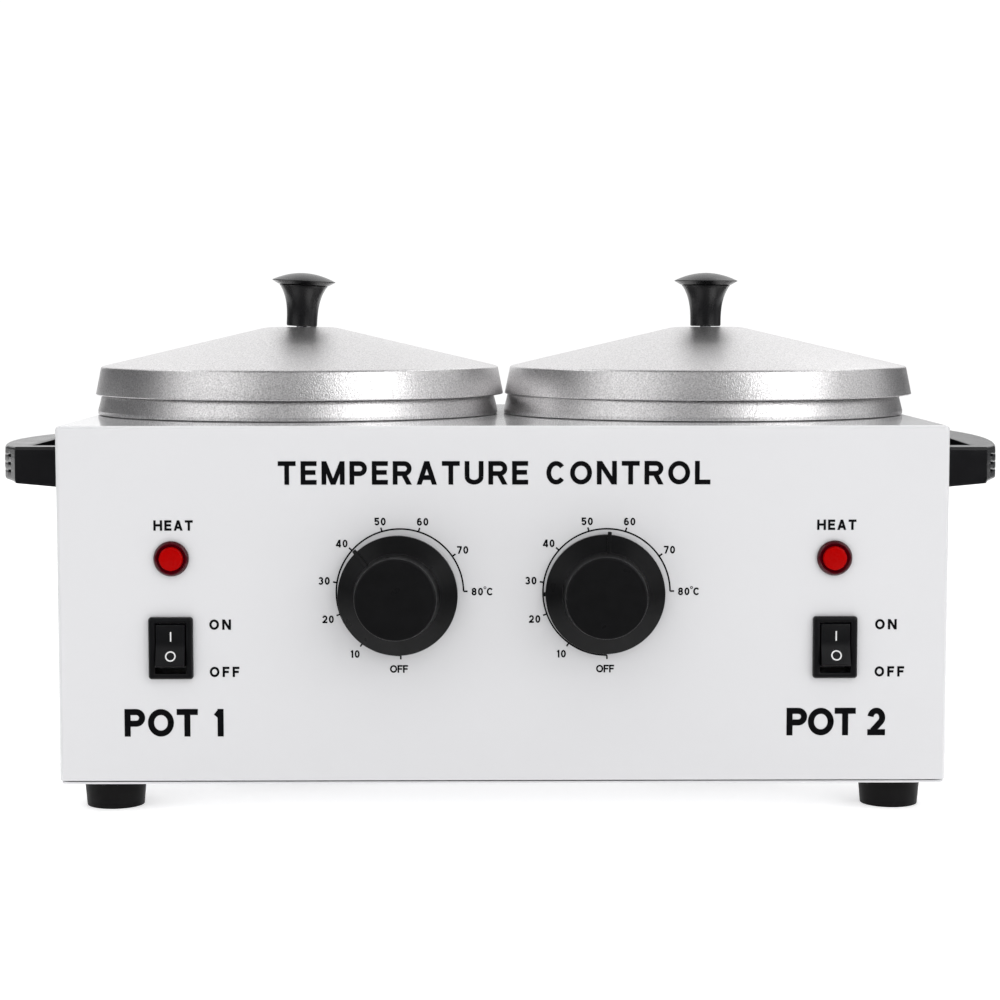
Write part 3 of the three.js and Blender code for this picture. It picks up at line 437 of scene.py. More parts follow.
def casing():
    """The bent casing without its holes.

    Known fault: it comes out solid. The cavity is cut first, and the second cut() turns the cavity's faces
    outward with its normals pass, which fills the cavity again. The outside isn't affected.
    """
    low, high = SHELL_LOW, SHELL_HIGH

    def top_or_upright(edge):
        return max(vert.co.z for vert in edge.verts) > low.z + 1

    shell = brick(low, high, BEND, top_or_upright, segments=7)
    inside_low = Vector((low.x + SHEET, low.y + SHEET, low.z + SHEET))
    inside_high = Vector((high.x - SHEET, high.y - SHEET, high.z - SHEET))
    shell = cut(shell, [brick(inside_low, inside_high, BEND - SHEET, segments=3)])
    open_low = (low.x + FLANGE, low.y + SHEET, low.z - 1)
    open_high = (high.x - FLANGE, high.y - SHEET, low.z + 2 * SHEET)
    shell = cut(shell, [brick(open_low, open_high)])
    return cut(shell, [bottom_corner(side) for side in (-1, 1)])


def casing_holes():
    """Cutters for the holes. They don't reach far, so in the solid casing they leave pockets."""
    low, high = SHELL_LOW, SHELL_HIGH
    holes = []
    for name, side in SIDES:
        pot_at = middle(f"pot_{name}")
        holes.append(moved(bar(POT_HOLE, high.z - REACH, high.z + REACH, 128), at(pot_at.x, pot_at.y)))
        axis_x, _, axis_z = joint_at(f"dial_{name}_turn")
        holes.append(moved(bar(SHAFT_HOLE, -REACH, REACH), front_frame(axis_x, axis_z)))
        lamp = middle(f"lamp_lens_{name}")
        holes.append(moved(bar(LAMP_HOLE, -REACH, REACH), front_frame(lamp.x, lamp.z)))
        switch = middle(f"switch_housing_{name}")
        cutout = prism(rectangle(*SWITCH_CUTOUT, 0.5), -REACH, REACH)
        holes.append(moved(cutout, front_frame(switch.x, switch.z)))
        for end_name, _ in ENDS:
            foot_at = middle(f"foot_{end_name}_{name}")
            holes.append(moved(bar(SCREW_HOLE, low.z - 1, low.z + 2 * SHEET, 24), at(foot_at.x, foot_at.y)))
            screw = middle(f"handle_screw_{end_name}_{name}")
            across = at(side * high.x, screw.y, screw.z) @ Matrix.Rotation(math.pi / 2, 4, "Y")
            holes.append(moved(bar(SCREW_HOLE, -REACH, REACH, 24), across))
        for row in (-1.5, -0.5, 0.5, 1.5):
            slot = prism(stadium(VENT_WIDTH, VENT_LENGTH), -REACH, REACH)
            holes.append(moved(slot, back_frame(side * VENT_X + row * VENT_PITCH, high.z - VENT_DROP)))
    inlet = middle("power_inlet")
    cutout = prism(rectangle(*INLET_CUTOUT, 1), -REACH, REACH)
    holes.append(moved(cutout, back_frame(inlet.x, inlet.z)))
    return holes


shell_bm = cut(casing(), casing_holes())
piece("casing_shell", shell_bm, "casing", "paint", ["outer_shell"], weighted=True)

PLATE_OVERHANG = 1  # past the CAD plate, on each side
PLATE_GAP = 0.2  # under the casing
PLATE_VENT = (3, 46)
PLATE_VENTS = (-40, -30, 48, 58)  # from the middle of the plate


def base_plate(low, high):
    centre = (low + high) / 2
    width = high.x - low.x + 2 * PLATE_OVERHANG
    depth = high.y - low.y + 2 * PLATE_OVERHANG
    plate = prism(rectangle(width, depth, 2), low.z, high.z - PLATE_GAP, 0.1, 2)
    vents = []
    for _, side in SIDES:
        for y in PLATE_VENTS:
            vent = prism(stadium(*PLATE_VENT), low.z - 1, high.z + 1)
            lengthwise = Matrix.Rotation(math.pi / 2, 4, "Z")
            vents.append(moved(moved(vent, lengthwise), at(side * middle("pot_right").x, y)))
    plate = moved(cut(plate, vents), at(centre.x, centre.y))
    holes = []
    for end_name, _ in ENDS:
        for name, _ in SIDES:
            foot_at = middle(f"foot_{end_name}_{name}")
            holes.append(moved(bar(SCREW_HOLE, low.z - 1, high.z + 1, 24), at(foot_at.x, foot_at.y)))
    return cut(plate, holes)


piece("bottom_plate", base_plate(*box("base_plate")), "casing", "paint", ["base_plate"])

FOOT_RECESS = 5.5
FOOT_FLARE = 0.3  # past the CAD foot, at the top


def foot(low, high):
    top = high.z - low.z
    radius = (high.x - low.x) / 2
    return lathe(filleted([
        (FOOT_RECESS, 0, 0.4),
        (radius - 2.6, 0, 0.2),
        (radius - 2.1, 0.5, 0.2),
        (radius - 1.6, 0, 0.2),
        (radius - 0.6, 0, 0.2),
        (radius + FOOT_FLARE, top, 0.2),
        (SCREW_HOLE, top, 0.2),
        (SCREW_HOLE, FOOT_RECESS),
        (FOOT_RECESS, FOOT_RECESS, 0.4),
    ], closed=True), 64)


for end_name, _ in ENDS:
    for name, _ in SIDES:
        node = f"foot_{end_name}_{name}"
        low, high = box(node)
        centre = (low + high) / 2
        rubber = moved(foot(low, high), at(centre.x, centre.y, low.z))
        piece(f"rubber_{node}", rubber, "casing", "rubber", [node])


# ---- Pots and lids ----

BORE = 64.8
WALL = 1.2
POT_DEPTH = 85
FLOOR_ROUND = 5
RIM_FOOT = 74.4
RIM_TOP = 70.5
RIM_HEIGHT = 16.8
RIM_UPRIGHT = 1.3

LID_SHEET = 0.8
LID_EDGE = 75.9
LID_SHOULDER = 73.8
LID_CROWN = 12.5
LID_RISE = 10.3  # from the lid's edge to its shoulder
LID_CONE = 14.5  # from the shoulder to the crown
LID_HOLE = 2.6


def pot():
    floor = -POT_DEPTH
    outer = BORE + WALL
    slope = (RIM_FOOT - RIM_TOP) / RIM_HEIGHT
    under = RIM_HEIGHT - WALL
    return lathe(filleted([
        (0, floor - WALL),
        (outer, floor - WALL, FLOOR_ROUND),
        (outer, under, 0.6),
        (RIM_FOOT - WALL - slope * under, under, 0.6),
        (RIM_FOOT - WALL, GAP),
        (RIM_FOOT, GAP, 0.15),
        (RIM_FOOT, GAP + RIM_UPRIGHT, 0.4),
        (RIM_TOP, RIM_HEIGHT, 0.9),
        (BORE, RIM_HEIGHT, 0.9),
        (BORE, floor, FLOOR_ROUND),
        (0, floor),
    ], steps=7), 160)


def lid():
    shoulder = LID_RISE
    crown = shoulder + LID_CONE
    slope = LID_CONE / (LID_SHOULDER - LID_CROWN)
    thick = LID_SHEET * math.sqrt(1 + slope * slope)
    return lathe(filleted([
        (LID_HOLE, crown - LID_SHEET),
        (LID_CROWN, crown - LID_SHEET, 20),
        (LID_SHOULDER - LID_SHEET, shoulder - thick, 0.4),
        (LID_EDGE - LID_SHEET, 0, 0.15),
        (LID_EDGE, 0, 0.35),
        (LID_SHOULDER, shoulder, 1.1),
        (LID_CROWN, crown, 20),
        (LID_HOLE, crown),
    ], closed=True, steps=7), 192)


for name, _ in SIDES:
    low, high = box(f"pot_{name}")
    place = at((low.x + high.x) / 2, (low.y + high.y) / 2, SHELL_HIGH.z)
    piece(f"wax_pot_{name}", moved(pot(), place), "casing", "aluminium", [f"pot_{name}"])
    low, high = box(f"lid_{name}")
    place = at((low.x + high.x) / 2, (low.y + high.y) / 2, low.z)
    cover = moved(lid(), place)
    piece(f"pot_lid_{name}", cover, f"lid_{name}", "aluminium", [f"lid_{name}"])


# ---- Knobs ----

KNOB_SHIFT = {"left": 0.5, "right": -0.6}
KNOB_LEAN = {"left": 3.0, "right": 0.4}
KNOB_FOOT = 5.7
KNOB_FLARE = 3.3
KNOB_FLARE_POWER = 3.2
KNOB_STEM = 15.3
KNOB_LIP = 0.25
KNOB_BORE = 2.35
CAP_RADIUS = 11.75
CAP_DOME = 3.0
CAP_BELLY = 1.5
CAP_FLAT = 9.2
CAP_GAP = 0.05


def knob_stem():
    steps = 24
    outside = [(KNOB_FOOT - 0.5, 0), (KNOB_FOOT - 0.15, 0.12), (KNOB_FOOT, 0.5)]
    for index in range(1, steps + 1):
        t = index / steps
        height = KNOB_STEM * t - (KNOB_LIP if index == steps else 0)
        outside.append((KNOB_FOOT + KNOB_FLARE * t ** KNOB_FLARE_POWER, height))
    top = KNOB_FOOT + KNOB_FLARE - KNOB_LIP
    return lathe([(KNOB_BORE, 0), *outside, (top, KNOB_STEM), (KNOB_BORE, KNOB_STEM)], 96)


def knob_cap():
    """A dome over a shallow dish whose flat middle rests on the stem."""
    steps = 16
    dome = []
    for index in range(steps):
        t = index / steps
        dome.append((CAP_RADIUS * (1 - t), 0.1 + (CAP_DOME - 0.1) * (1 - (1 - t) ** 2)))
    under = filleted([(KNOB_BORE, -CAP_BELLY), (CAP_FLAT, -CAP_BELLY, 1.5), (CAP_RADIUS, -0.1)], steps=8)
    return lathe([(0, 1.2), (KNOB_BORE, 1.2), *under, *dome, (0, CAP_DOME)], 96)


for name, _ in SIDES:
    low, high = box(f"lid_{name}")
    lean = Matrix.Rotation(math.radians(KNOB_LEAN[name]), 4, "Y")
    place = at((low.x + high.x) / 2 + KNOB_SHIFT[name], (low.y + high.y) / 2, high.z + GAP) @ lean
    cap_place = place @ at(0, 0, KNOB_STEM + CAP_GAP + CAP_BELLY)
    for part, shape in (("stem", moved(knob_stem(), place)), ("cap", moved(knob_cap(), cap_place))):
        piece(f"knob_{part}_of_lid_{name}", shape, f"lid_{name}", "bakelite",
              [f"knob_{part}_{name}"])


# ---- Dials ----

POINTER = {"left": 134, "right": 86}  # degrees anticlockwise from the right
STANDOFF = {"left": 3.6, "right": 1.2}
DIAL_SHIFT = {"left": (-0.6, -0.6), "right": (-0.5, -0.5)}
DIAL_LEAN = (-1.6, -1.2)  # degrees back and to the side
SKIRT = 20.1
GRIP_BASE = 14.4
GRIP_FRONT = 13.5
DIAL_LENGTH = 17.5
DIAL_WALL = 1.5
HUB = 5.5
HUB_BORE = 4.3  # loose on the shaft, because the dial is shifted and leans
SHAFT_SHORT = 5.3
RIB_WIDTH = 1.3


def dial_knob():
    front = DIAL_LENGTH
    inside = front - 2
    return lathe(filleted([
        (0, front - SHAFT_SHORT + GAP),
        (HUB_BORE, front - SHAFT_SHORT + GAP),
        (HUB_BORE, 3.5),
        (HUB, 3.5, 0.3),
        (HUB, inside, 0.5),
        (GRIP_FRONT - DIAL_WALL, inside, 0.5),
        (GRIP_BASE - DIAL_WALL, 5.5, 0.5),
        (SKIRT - DIAL_WALL, 1.6, 0.3),
        (SKIRT - DIAL_WALL, 0, 0.15),
        (SKIRT, 0, 0.2),
        (SKIRT, 2.5, 0.6),
        (GRIP_BASE, 6.8, 0.5),
        (GRIP_FRONT, front, 0.7),
        (0, front),
    ], steps=6), 128)


def pointer_rib():
    side_view = filleted([
        (SKIRT - 1.6, 0.7),
        (SKIRT + 1, 0.7, 0.2),
        (SKIRT + 1, 2.9, 0.3),
        (SKIRT - 0.4, 3.5, 0.8),
        (GRIP_BASE - 0.5, 7.7, 0.2),
        (GRIP_BASE - 0.5, 6.0),
    ], closed=True, steps=3)
    rib = prism(side_view, -RIB_WIDTH / 2, RIB_WIDTH / 2, 0.25, 3)
    return moved(rib, Matrix.Rotation(math.pi / 2, 4, "X"))


def gate_nub():
    """The trace of the mould's gate, on the skirt's edge."""
    return brick((SKIRT - 0.6, -0.7, 0.6), (SKIRT + 0.7, 0.7, 1.9), 0.3, segments=3)


for name, _ in SIDES:
    axis_x, _, axis_z = joint_at(f"dial_{name}_turn")
    back, aside = (math.radians(angle) for angle in DIAL_LEAN)
    lean = Matrix.Rotation(back, 4, "X") @ Matrix.Rotation(aside, 4, "Y")
    place = (front_frame(axis_x, axis_z) @ at(*DIAL_SHIFT[name], STANDOFF[name]) @ lean
             @ Matrix.Rotation(math.radians(POINTER[name]), 4, "Z"))
    body = f"dial_{name}"
    piece(f"dial_knob_{name}", moved(dial_knob(), place), body, "dial", [f"dial_{name}"])
    piece(f"dial_pointer_{name}", moved(pointer_rib(), place), body, "dial")
    if name == "right":
        nub_place = place @ Matrix.Rotation(math.radians(180 - POINTER[name]), 4, "Z")
        piece("dial_gate_nub_right", moved(gate_nub(), nub_place), body, "dial")


# ---- Pilot lamps ----

LAMP_RADIUS = 5.95
LAMP_STEM = 4.6
LAMP_FACE = 4.05
LAMP_FACE_RINGS = ((0, 0.9, 0), (0, 2.0, 0.3), (0.15, 2.3, 0.6), (0.35, 2.42, 0.7), (0.7, 2.47, 0.7))


def lamp_ring():
    return lathe(filleted([
        (0, -5),
        (LAMP_STEM, -5, 0.3),
        (LAMP_STEM, GAP),
        (LAMP_RADIUS, GAP, 0.2),
        (LAMP_RADIUS, 1.0, 0.5),
        (LAMP_RADIUS - 0.75, 2.1, 0.3),
        (LAMP_FACE + 0.45, 1.35, 0.2),
        (LAMP_FACE + 0.1, 1.2),
        (0, 1.2),
    ], steps=5), 96)


def lamp_face():
    """A flat facetted button: a round foot that turns into a soft octagon, ring by ring."""
    count = 96
    rings = []
    for inset, height, corner in LAMP_FACE_RINGS:
        radius = LAMP_FACE - inset
        outline = []
        for index in range(count):
            angle = 2 * math.pi * index / count
            flat = (angle % (math.pi / 4)) - math.pi / 8
            octagon = math.cos(math.pi / 8) / math.cos(flat)
            reach = radius * (1 - corner + corner * octagon)
            outline.append((reach * math.cos(angle), reach * math.sin(angle)))
        rings.append((outline, height))
    return loft(rings)


for name, _ in SIDES:
    centre = middle(f"lamp_lens_{name}")
    place = front_frame(centre.x, centre.z)
    ring = moved(lamp_ring(), place)
    piece(f"lamp_ring_{name}", ring, "casing", "lamp_ring", [f"lamp_lens_{name}"])
    piece(f"lamp_face_{name}", moved(lamp_face(), place), "casing", "lamp", sharp=50)


# ---- Rocker switches ----

BEZEL = (15.0, 21.0)
BEZEL_PROUD = 2.2
SWITCH_BODY = (12.6, 18.8)
SWITCH_DEPTH = 20
CAVITY = (10.3, 17.0)
CAVITY_DEPTH = 11
ROCKER_WIDTH = 9.7
ROCKER_HALF = 7.2
ROCKER_TILT = math.radians(10)
ROCKER_FACE = 5.5
MARK_RAISE = 0.04
MARK_SHIFT = 0.15  # the marks sit a little right of the middle


def switch_frame():
    """The housing from its back up: body, flange, sloped frame and the well that the rocker sits in."""
    def ring(size, height, radius):
        return rectangle(size[0], size[1], radius, steps=6), height

    def grown(size, by):
        return size[0] + by, size[1] + by

    return loft([
        ring(grown(SWITCH_BODY, -0.6), -SWITCH_DEPTH, 0.3),
        ring(SWITCH_BODY, 0.3 - SWITCH_DEPTH, 0.5),
        ring(SWITCH_BODY, GAP, 0.5),
        ring(BEZEL, GAP, 1.0),
        ring(BEZEL, 1.2, 1.0),
        ring(grown(BEZEL, -0.25), 1.6, 0.95),
        ring(grown(BEZEL, -0.9), BEZEL_PROUD - 0.1, 0.7),
        ring(grown(BEZEL, -1.3), BEZEL_PROUD, 0.6),
        ring(grown(CAVITY, 0.7), BEZEL_PROUD, 0.5),
        ring(grown(CAVITY, 0.25), BEZEL_PROUD - 0.12, 0.45),
        ring(CAVITY, BEZEL_PROUD - 0.5, 0.4),
        ring(CAVITY, -CAVITY_DEPTH, 0.4),
    ])


def rocker():
    half = ROCKER_HALF
    tip = ROCKER_FACE + half * math.tan(ROCKER_TILT)
    side_view = filleted([
        (-tip, -half, 0.45),
        (-ROCKER_FACE, 0, 8.0),
        (-tip, half, 0.45),
        (-0.5, half - 0.7, 0.4),
        (4.5, 3, 1.0),
        (4.5, -3, 1.0),
        (-0.5, 0.7 - half, 0.4),
    ], closed=True, steps=6)
    body = prism(side_view, -ROCKER_WIDTH / 2, ROCKER_WIDTH / 2, 0.35, 3)
    return moved(body, Matrix.Rotation(math.pi / 2, 4, "Y"))


def line_mark(width, height):
    return prism(rectangle(width, height, 0.15), 0, MARK_RAISE)


def ring_mark(outer, inner):
    return lathe([(inner, 0), (outer, 0), (outer, MARK_RAISE), (inner, MARK_RAISE)], 48)


def face_frame(distance, sign):
    """A frame on one half of the rocker's face, distance from its middle line."""
    y = sign * distance * math.cos(ROCKER_TILT)
    z = ROCKER_FACE + distance * math.sin(ROCKER_TILT)
    return at(MARK_SHIFT, y, z) @ Matrix.Rotation(sign * ROCKER_TILT, 4, "X")


for name, _ in SIDES:
    centre = middle(f"switch_housing_{name}")
    pivot_y = joint_at(f"rocker_{name}_tip")[1]
    place = front_frame(centre.x, centre.z)
    piece(f"switch_frame_{name}", moved(switch_frame(), place), "casing", "switch",
          [f"switch_housing_{name}"])
    rest = place @ at(0, 0, SHELL_LOW.y - pivot_y) @ Matrix.Rotation(-ROCKER_TILT, 4, "X")
    body = f"rocker_{name}"
    piece(f"rocker_button_{name}", moved(rocker(), rest), body, "switch",
          [f"switch_rocker_{name}"])
    on_mark = moved(line_mark(0.46, 3.3), rest @ face_frame(3.1, 1))
    piece(f"rocker_on_mark_{name}", on_mark, body, "white_ink")
    off_mark = moved(ring_mark(1.78, 1.33), rest @ face_frame(3.58, -1))
    piece(f"rocker_off_mark_{name}", off_mark, body, "white_ink")


# ---- Handles ----

HALF_LENGTH = 57.5
ARM = 11.0
TIP = 19.1
CORNER_X = 24.6
CORNER_Y = 45.0
BOW = 29.8
GRIP_INSIDE = 16.8
EDGE_ROUND = 1.2
HEEL_ROUND = 2.2  # under the grip
CORNER_ROUND = 0.25  # at the upright corners, less than their own fillets
FILLET_STEP = 0.2  # points nearer to each other than this lie on a small fillet
DRAFT = 0.2  # how far the top of the grip leans in
UNDERSIDE_CLIMB = 1.8 / TIP
CLIMB_HEIGHT = 3.5  # the climb of the underside has died out here
GROOVE_DROPS = (8.75, 6.05, 3.3)  # below the top
GROOVE_HALF = 0.65
GROOVE_START = 0.8  # depth where a groove starts, on the end facet
GROOVE_RUN = 0.1  # depth along the grip
GROOVE_X = (TIP + CORNER_X) / 2  # where the grooves start
GROOVE_SHADE_STRETCH = (-0.5, 1.2)  # the stretch about that place that gets the painted shade: the darker, reflection-free handle surface
FACET_SHARES = (0.4, 0.44, 0.48, 0.54, 0.6, 0.66, 0.72, 0.8, 0.9)  # along the end facet, close at the grooves
HANDLE_DROP = {"left": 0.8, "right": 1.15}  # at the front end
HANDLE_TILT = {"left": -0.5, "right": 0.55}  # degrees, raising the rear end
HANDLE_STRETCH = {"left": 1.028, "right": 1.012}


def handle_outline():
    arm_inside = HALF_LENGTH - ARM
    rise = BOW - CORNER_X
    radius = (CORNER_Y ** 2 + rise ** 2) / (2 * rise)
    steps = 24
    reach = math.asin(CORNER_Y / radius)
    bow = []
    for index in range(steps + 1):
        angle = -reach + 2 * reach * index / steps
        bow.append((BOW - radius * (1 - math.cos(angle)), radius * math.sin(angle)))

    def facet(share):
        return TIP + (CORNER_X - TIP) * share, HALF_LENGTH + (CORNER_Y - HALF_LENGTH) * share

    back = [facet(share) for share in reversed(FACET_SHARES)]
    front = [(x, -y) for x, y in reversed(back)]
    return filleted([
        (GAP, -HALF_LENGTH, 0.4),
        (TIP, -HALF_LENGTH, 0.35),
        *front,
        *bow,
        *back,
        (TIP, HALF_LENGTH, 0.35),
        (GAP, HALF_LENGTH, 0.4),
        (GAP, arm_inside, 0.3),
        (GRIP_INSIDE, arm_inside, 3.0),
        (GRIP_INSIDE, -arm_inside, 3.0),
        (GAP, -arm_inside, 0.3),
    ], closed=True, steps=5)


def outward(points):
    """The outward direction at each point of an anticlockwise outline."""
    normals = []
    count = len(points)
    for index in range(count):
        before = Vector(points[index]) - Vector(points[index - 1])
        after = Vector(points[(index + 1) % count]) - Vector(points[index])
        one = Vector((before.y, -before.x)).normalized()
        two = Vector((after.y, -after.x)).normalized()
        both = (one + two).normalized()
        normals.append(both / max(both.dot(one), 0.5))
    return normals


def on_fillet(points, index):
    """Whether a point of an outline lies on one of its small fillets."""
    here = Vector(points[index])
    after = Vector(points[(index + 1) % len(points)])
    return min((here - Vector(points[index - 1])).length, (here - after).length) < FILLET_STEP


def ramp(value, start, end):
    return min(1.0, max(0.0, (value - start) / (end - start)))


def quarter(distance, radius):
    """How far a quarter-round edge stands back at a distance from the face it runs into."""
    short = max(0.0, radius - distance)
    return radius - math.sqrt(radius ** 2 - short ** 2)


def handle_levels(height):
    levels = [EDGE_ROUND * share for share in (0.0, 0.05, 0.2, 0.45, 0.75, 1.0)]
    levels += [1.6, 2.2, 3.4]
    for drop in GROOVE_DROPS:
        levels += [height - drop + GROOVE_HALF * share for share in (-1, -0.6, -0.3, 0, 0.3, 0.6, 1)]
    levels += [height - EDGE_ROUND * share for share in (1.0, 0.75, 0.45, 0.2, 0.05, 0.0)]
    return levels


def groove_depth(level, height):
    depth = 0.0
    for drop in GROOVE_DROPS:
        offset = abs(level - (height - drop)) / GROOVE_HALF
        depth = max(depth, 0.5 + 0.5 * math.cos(math.pi * min(offset, 1.0)))
    return depth


def handle(height):
    points = handle_outline()
    normals = outward(points)
    limits = [CORNER_ROUND if on_fillet(points, index) else TIP for index in range(len(points))]
    rings = []
    for level in handle_levels(height):
        ring = []
        plain = quarter(level, EDGE_ROUND) + quarter(height - level, EDGE_ROUND)
        outer = quarter(level, HEEL_ROUND) + quarter(height - level, EDGE_ROUND)
        outer += DRAFT * ramp(level, height - 4, height)
        groove = groove_depth(level, height)
        for (x, y), normal, limit in zip(points, normals, limits):
            on_outside = ramp(x, GRIP_INSIDE + 0.5, GRIP_INSIDE + 4) if normal.x > 0.2 else 0.0
            start = ramp(x, GROOVE_X - 0.5, GROOVE_X - 0.15) if normal.x > 0.2 else 0.0
            run = ramp(x, GROOVE_X + 0.5, GROOVE_X + 1.1)
            carved = groove * start * (GROOVE_START + (GROOVE_RUN - GROOVE_START) * run)
            depth = min(plain + (outer - plain) * on_outside, limit) + carved
            px = max(x - normal.x * depth, GAP)
            py = y - normal.y * depth
            climb = UNDERSIDE_CLIMB * px * max(0.0, 1 - level / CLIMB_HEIGHT)
            ring.append((px, py, level + climb))
        rings.append(ring)
    bm = skin(rings)
    bm.normal_update()
    # The finger hole's inner wall and the groove starts get slot 1, the darker surface that paints shade
    # there.
    for face in bm.faces:
        x, y, level = face.calc_center_median()
        inside = x < GRIP_INSIDE + 0.6 and abs(y) < HALF_LENGTH - ARM + 0.6 and abs(face.normal.z) < 0.5
        at_start = GROOVE_SHADE_STRETCH[0] < x - GROOVE_X < GROOVE_SHADE_STRETCH[1] and abs(y) > CORNER_Y
        if inside or (at_start and groove_depth(level, height) > 0.1):
            face.material_index = 1
    return bm


for name, side in SIDES:
    low, high = box(f"handle_{name}")
    height = high.z - low.z
    centre_y = (low.y + high.y) / 2
    front_end = at(side * SHELL_HIGH.x, centre_y - HALF_LENGTH, high.z - HANDLE_DROP[name])
    tilt = Matrix.Rotation(math.radians(HANDLE_TILT[name]), 4, "X")
    turn = Matrix.Rotation(0 if side > 0 else math.pi, 4, "Z")
    stretch = Matrix.Diagonal((HANDLE_STRETCH[name], 1, 1, 1))
    place = front_end @ tilt @ at(0, HALF_LENGTH, -height) @ turn @ stretch
    made = piece(f"side_handle_{name}", moved(handle(height), place), "casing", "handle",
                 [f"handle_{name}"], sharp=40, weighted=True)
    # Slot 1: the darker handle surface that paints shade in the finger hole and at the groove starts.
    made.data.materials.append(SURFACES["handle_painted_shade"])


# ---- Print on the front panel ----

INK = 0.05
PRINT_GAP = 0.02  # above the panel, so that the ink's back doesn't coincide with it
GLYPH_WIDTHS = {  # for a height of 1
    "A": 0.87, "C": 0.8, "E": 0.68, "F": 0.66, "H": 0.84, "L": 0.66, "M": 0.98, "N": 0.85, "O": 0.93,
    "P": 0.74, "R": 0.8, "T": 0.76, "U": 0.8, "1": 0.36, "4": 0.68, "7": 0.62,
    **dict.fromkeys("023568", 0.64),
}
WORD_SPACE = 0.36
LETTER_GAP = 0.19
LAYER = 0.003  # each stroke of a letter lies this much above the one before, so that none coincide


def stroke(points, width):
    """A flat line of constant width through the points."""
    rows = []
    for index, point in enumerate(points):
        before = Vector(points[max(index - 1, 0)])
        after = Vector(points[min(index + 1, len(points) - 1)])
        along = (after - before).normalized()
        across = Vector((-along.y, along.x, 0)) * width / 2
        centre = Vector((*point, 0))
        up = Vector((0, 0, INK))
        rows.append((centre + across, centre - across, centre - across + up, centre + across + up))
    return skin(rows)


def arc(x, y, across, up, start, end):
    """Points along part of an ellipse, in degrees."""
    steps = max(4, int(abs(end - start) / 9))
    angles = [math.radians(start + (end - start) * step / steps) for step in range(steps + 1)]
    return [(x + across * math.cos(angle), y + up * math.sin(angle)) for angle in angles]


def glyph(char, height, weight):
    """One plain capital or digit as raised flat strokes, and its width."""
    w = height * GLYPH_WIDTHS[char]
    half = weight / 2
    left, right, bottom, top = half, w - half, half, height - half
    mid = w / 2
    bowl = mid - half
    tall = height - weight

    def slant(x0, y0, x1, y1, spread=1.0):
        reach = half * spread * math.hypot(x1 - x0, y1 - y0) / abs(y1 - y0)
        return prism([(x0 - reach, y0), (x0 + reach, y0), (x1 + reach, y1), (x1 - reach, y1)], 0, INK)

    def upright(x, low=0.0, high=height):
        return slant(x, low, x, high)

    def level(y, x0=0.0, x1=w):
        return prism([(x0, y - half), (x1, y - half), (x1, y + half), (x0, y + half)], 0, INK)

    def curve(x, y, across, up, start, end):
        return stroke(arc(x, y, across, up, start, end), weight)

    def bowl_of_p():
        low = height * 0.47
        reach = (top - low) / 2
        turn_x = right - reach
        return [upright(left), level(top, 0, turn_x + 0.1), level(low, 0, turn_x + 0.1),
                curve(turn_x, low + reach, reach, reach, -90, 90)]

    def drawn():
        if char == "A":
            foot = half * 1.08
            rise = 0.3
            inset = foot + (mid - foot) * rise
            return [slant(foot, 0, mid, height), slant(w - foot, 0, mid, height),
                    level(height * rise, inset, w - inset)]
        if char == "C":
            return [curve(w * 0.52, height / 2, w * 0.52 - half, height / 2 - half, 38, 322)]
        if char == "E":
            return [upright(left), level(bottom), level(height * 0.52, 0, w * 0.93), level(top)]
        if char == "F":
            return [upright(left), level(height * 0.5, 0, w * 0.9), level(top)]
        if char == "H":
            return [upright(left), upright(right), level(height * 0.52)]
        if char == "L":
            return [upright(left), level(bottom)]
        if char == "M":
            return [upright(left), upright(right), slant(mid, 0, left, height, 0.95),
                    slant(mid, 0, right, height, 0.95)]
        if char == "N":
            return [upright(left), upright(right), slant(right, 0, left, height)]
        if char in "O0":
            return [curve(mid, height / 2, bowl, height / 2 - half, 0, 367)]
        if char == "P":
            return bowl_of_p()
        if char == "R":
            return [*bowl_of_p(), slant(right, 0, w * 0.56, height * 0.47)]
        if char == "T":
            return [upright(mid), level(top)]
        if char == "U":
            turn = height * 0.34
            return [upright(left, turn), upright(right, turn),
                    curve(mid, turn, bowl, turn - half, 180, 360)]
        if char == "1":
            flag = [(half * 0.7, height * 0.74), (right, height * 0.95)]
            return [upright(right), stroke(flag, weight * 0.8)]
        if char == "2":
            up = tall * 0.31
            neck = arc(mid, top - up, bowl, up, 172, -38)
            return [stroke([*neck, (half * 1.7, half * 1.5)], weight), level(bottom)]
        if char == "3":
            up = tall * 0.235
            down = tall * 0.265
            return [curve(mid, top - up, bowl * 0.93, up, 158, -90),
                    curve(mid, bottom + down, bowl, down, 90, -158)]
        if char == "4":
            return [upright(w * 0.74), level(height * 0.25), slant(half, height * 0.25, w * 0.7, height)]
        if char == "5":
            up = tall * 0.31
            return [level(top, w * 0.16, w * 0.94), slant(half * 1.3, height * 0.45, w * 0.2, height),
                    curve(mid, bottom + up, bowl, up, 140, -158)]
        if char == "6":
            up = tall * 0.3
            return [curve(mid, bottom + up, bowl, up, 0, 367),
                    curve(mid, height / 2, bowl, tall / 2, 50, 200)]
        if char == "7":
            return [level(top), slant(w * 0.34, 0, right, height - weight)]
        up = tall * 0.235
        down = tall * 0.265
        return [curve(mid, top - up, bowl * 0.9, up, 0, 367), curve(mid, bottom + down, bowl, down, 0, 367)]

    return drawn(), w


def text_width(text, height):
    return sum(height * (WORD_SPACE if char == " " else GLYPH_WIDTHS[char]) for char in text)


def written(text, height, weight, x, y, width=None, centred=False):
    """A line of letters from its left end, or about its middle, spaced to a width if one is given."""
    gap = height * LETTER_GAP
    if width:
        gap = (width - text_width(text, height)) / (len(text) - 1)
    total = text_width(text, height) + gap * (len(text) - 1)
    cursor = x - total / 2 if centred else x
    parts = []
    for char in text:
        if char == " ":
            cursor += height * WORD_SPACE + gap
            continue
        strokes, made = glyph(char, height, weight)
        for layer, shape in enumerate(strokes):
            parts.append(moved(shape, at(cursor, y, layer * LAYER)))
        cursor += made + gap
    return parts


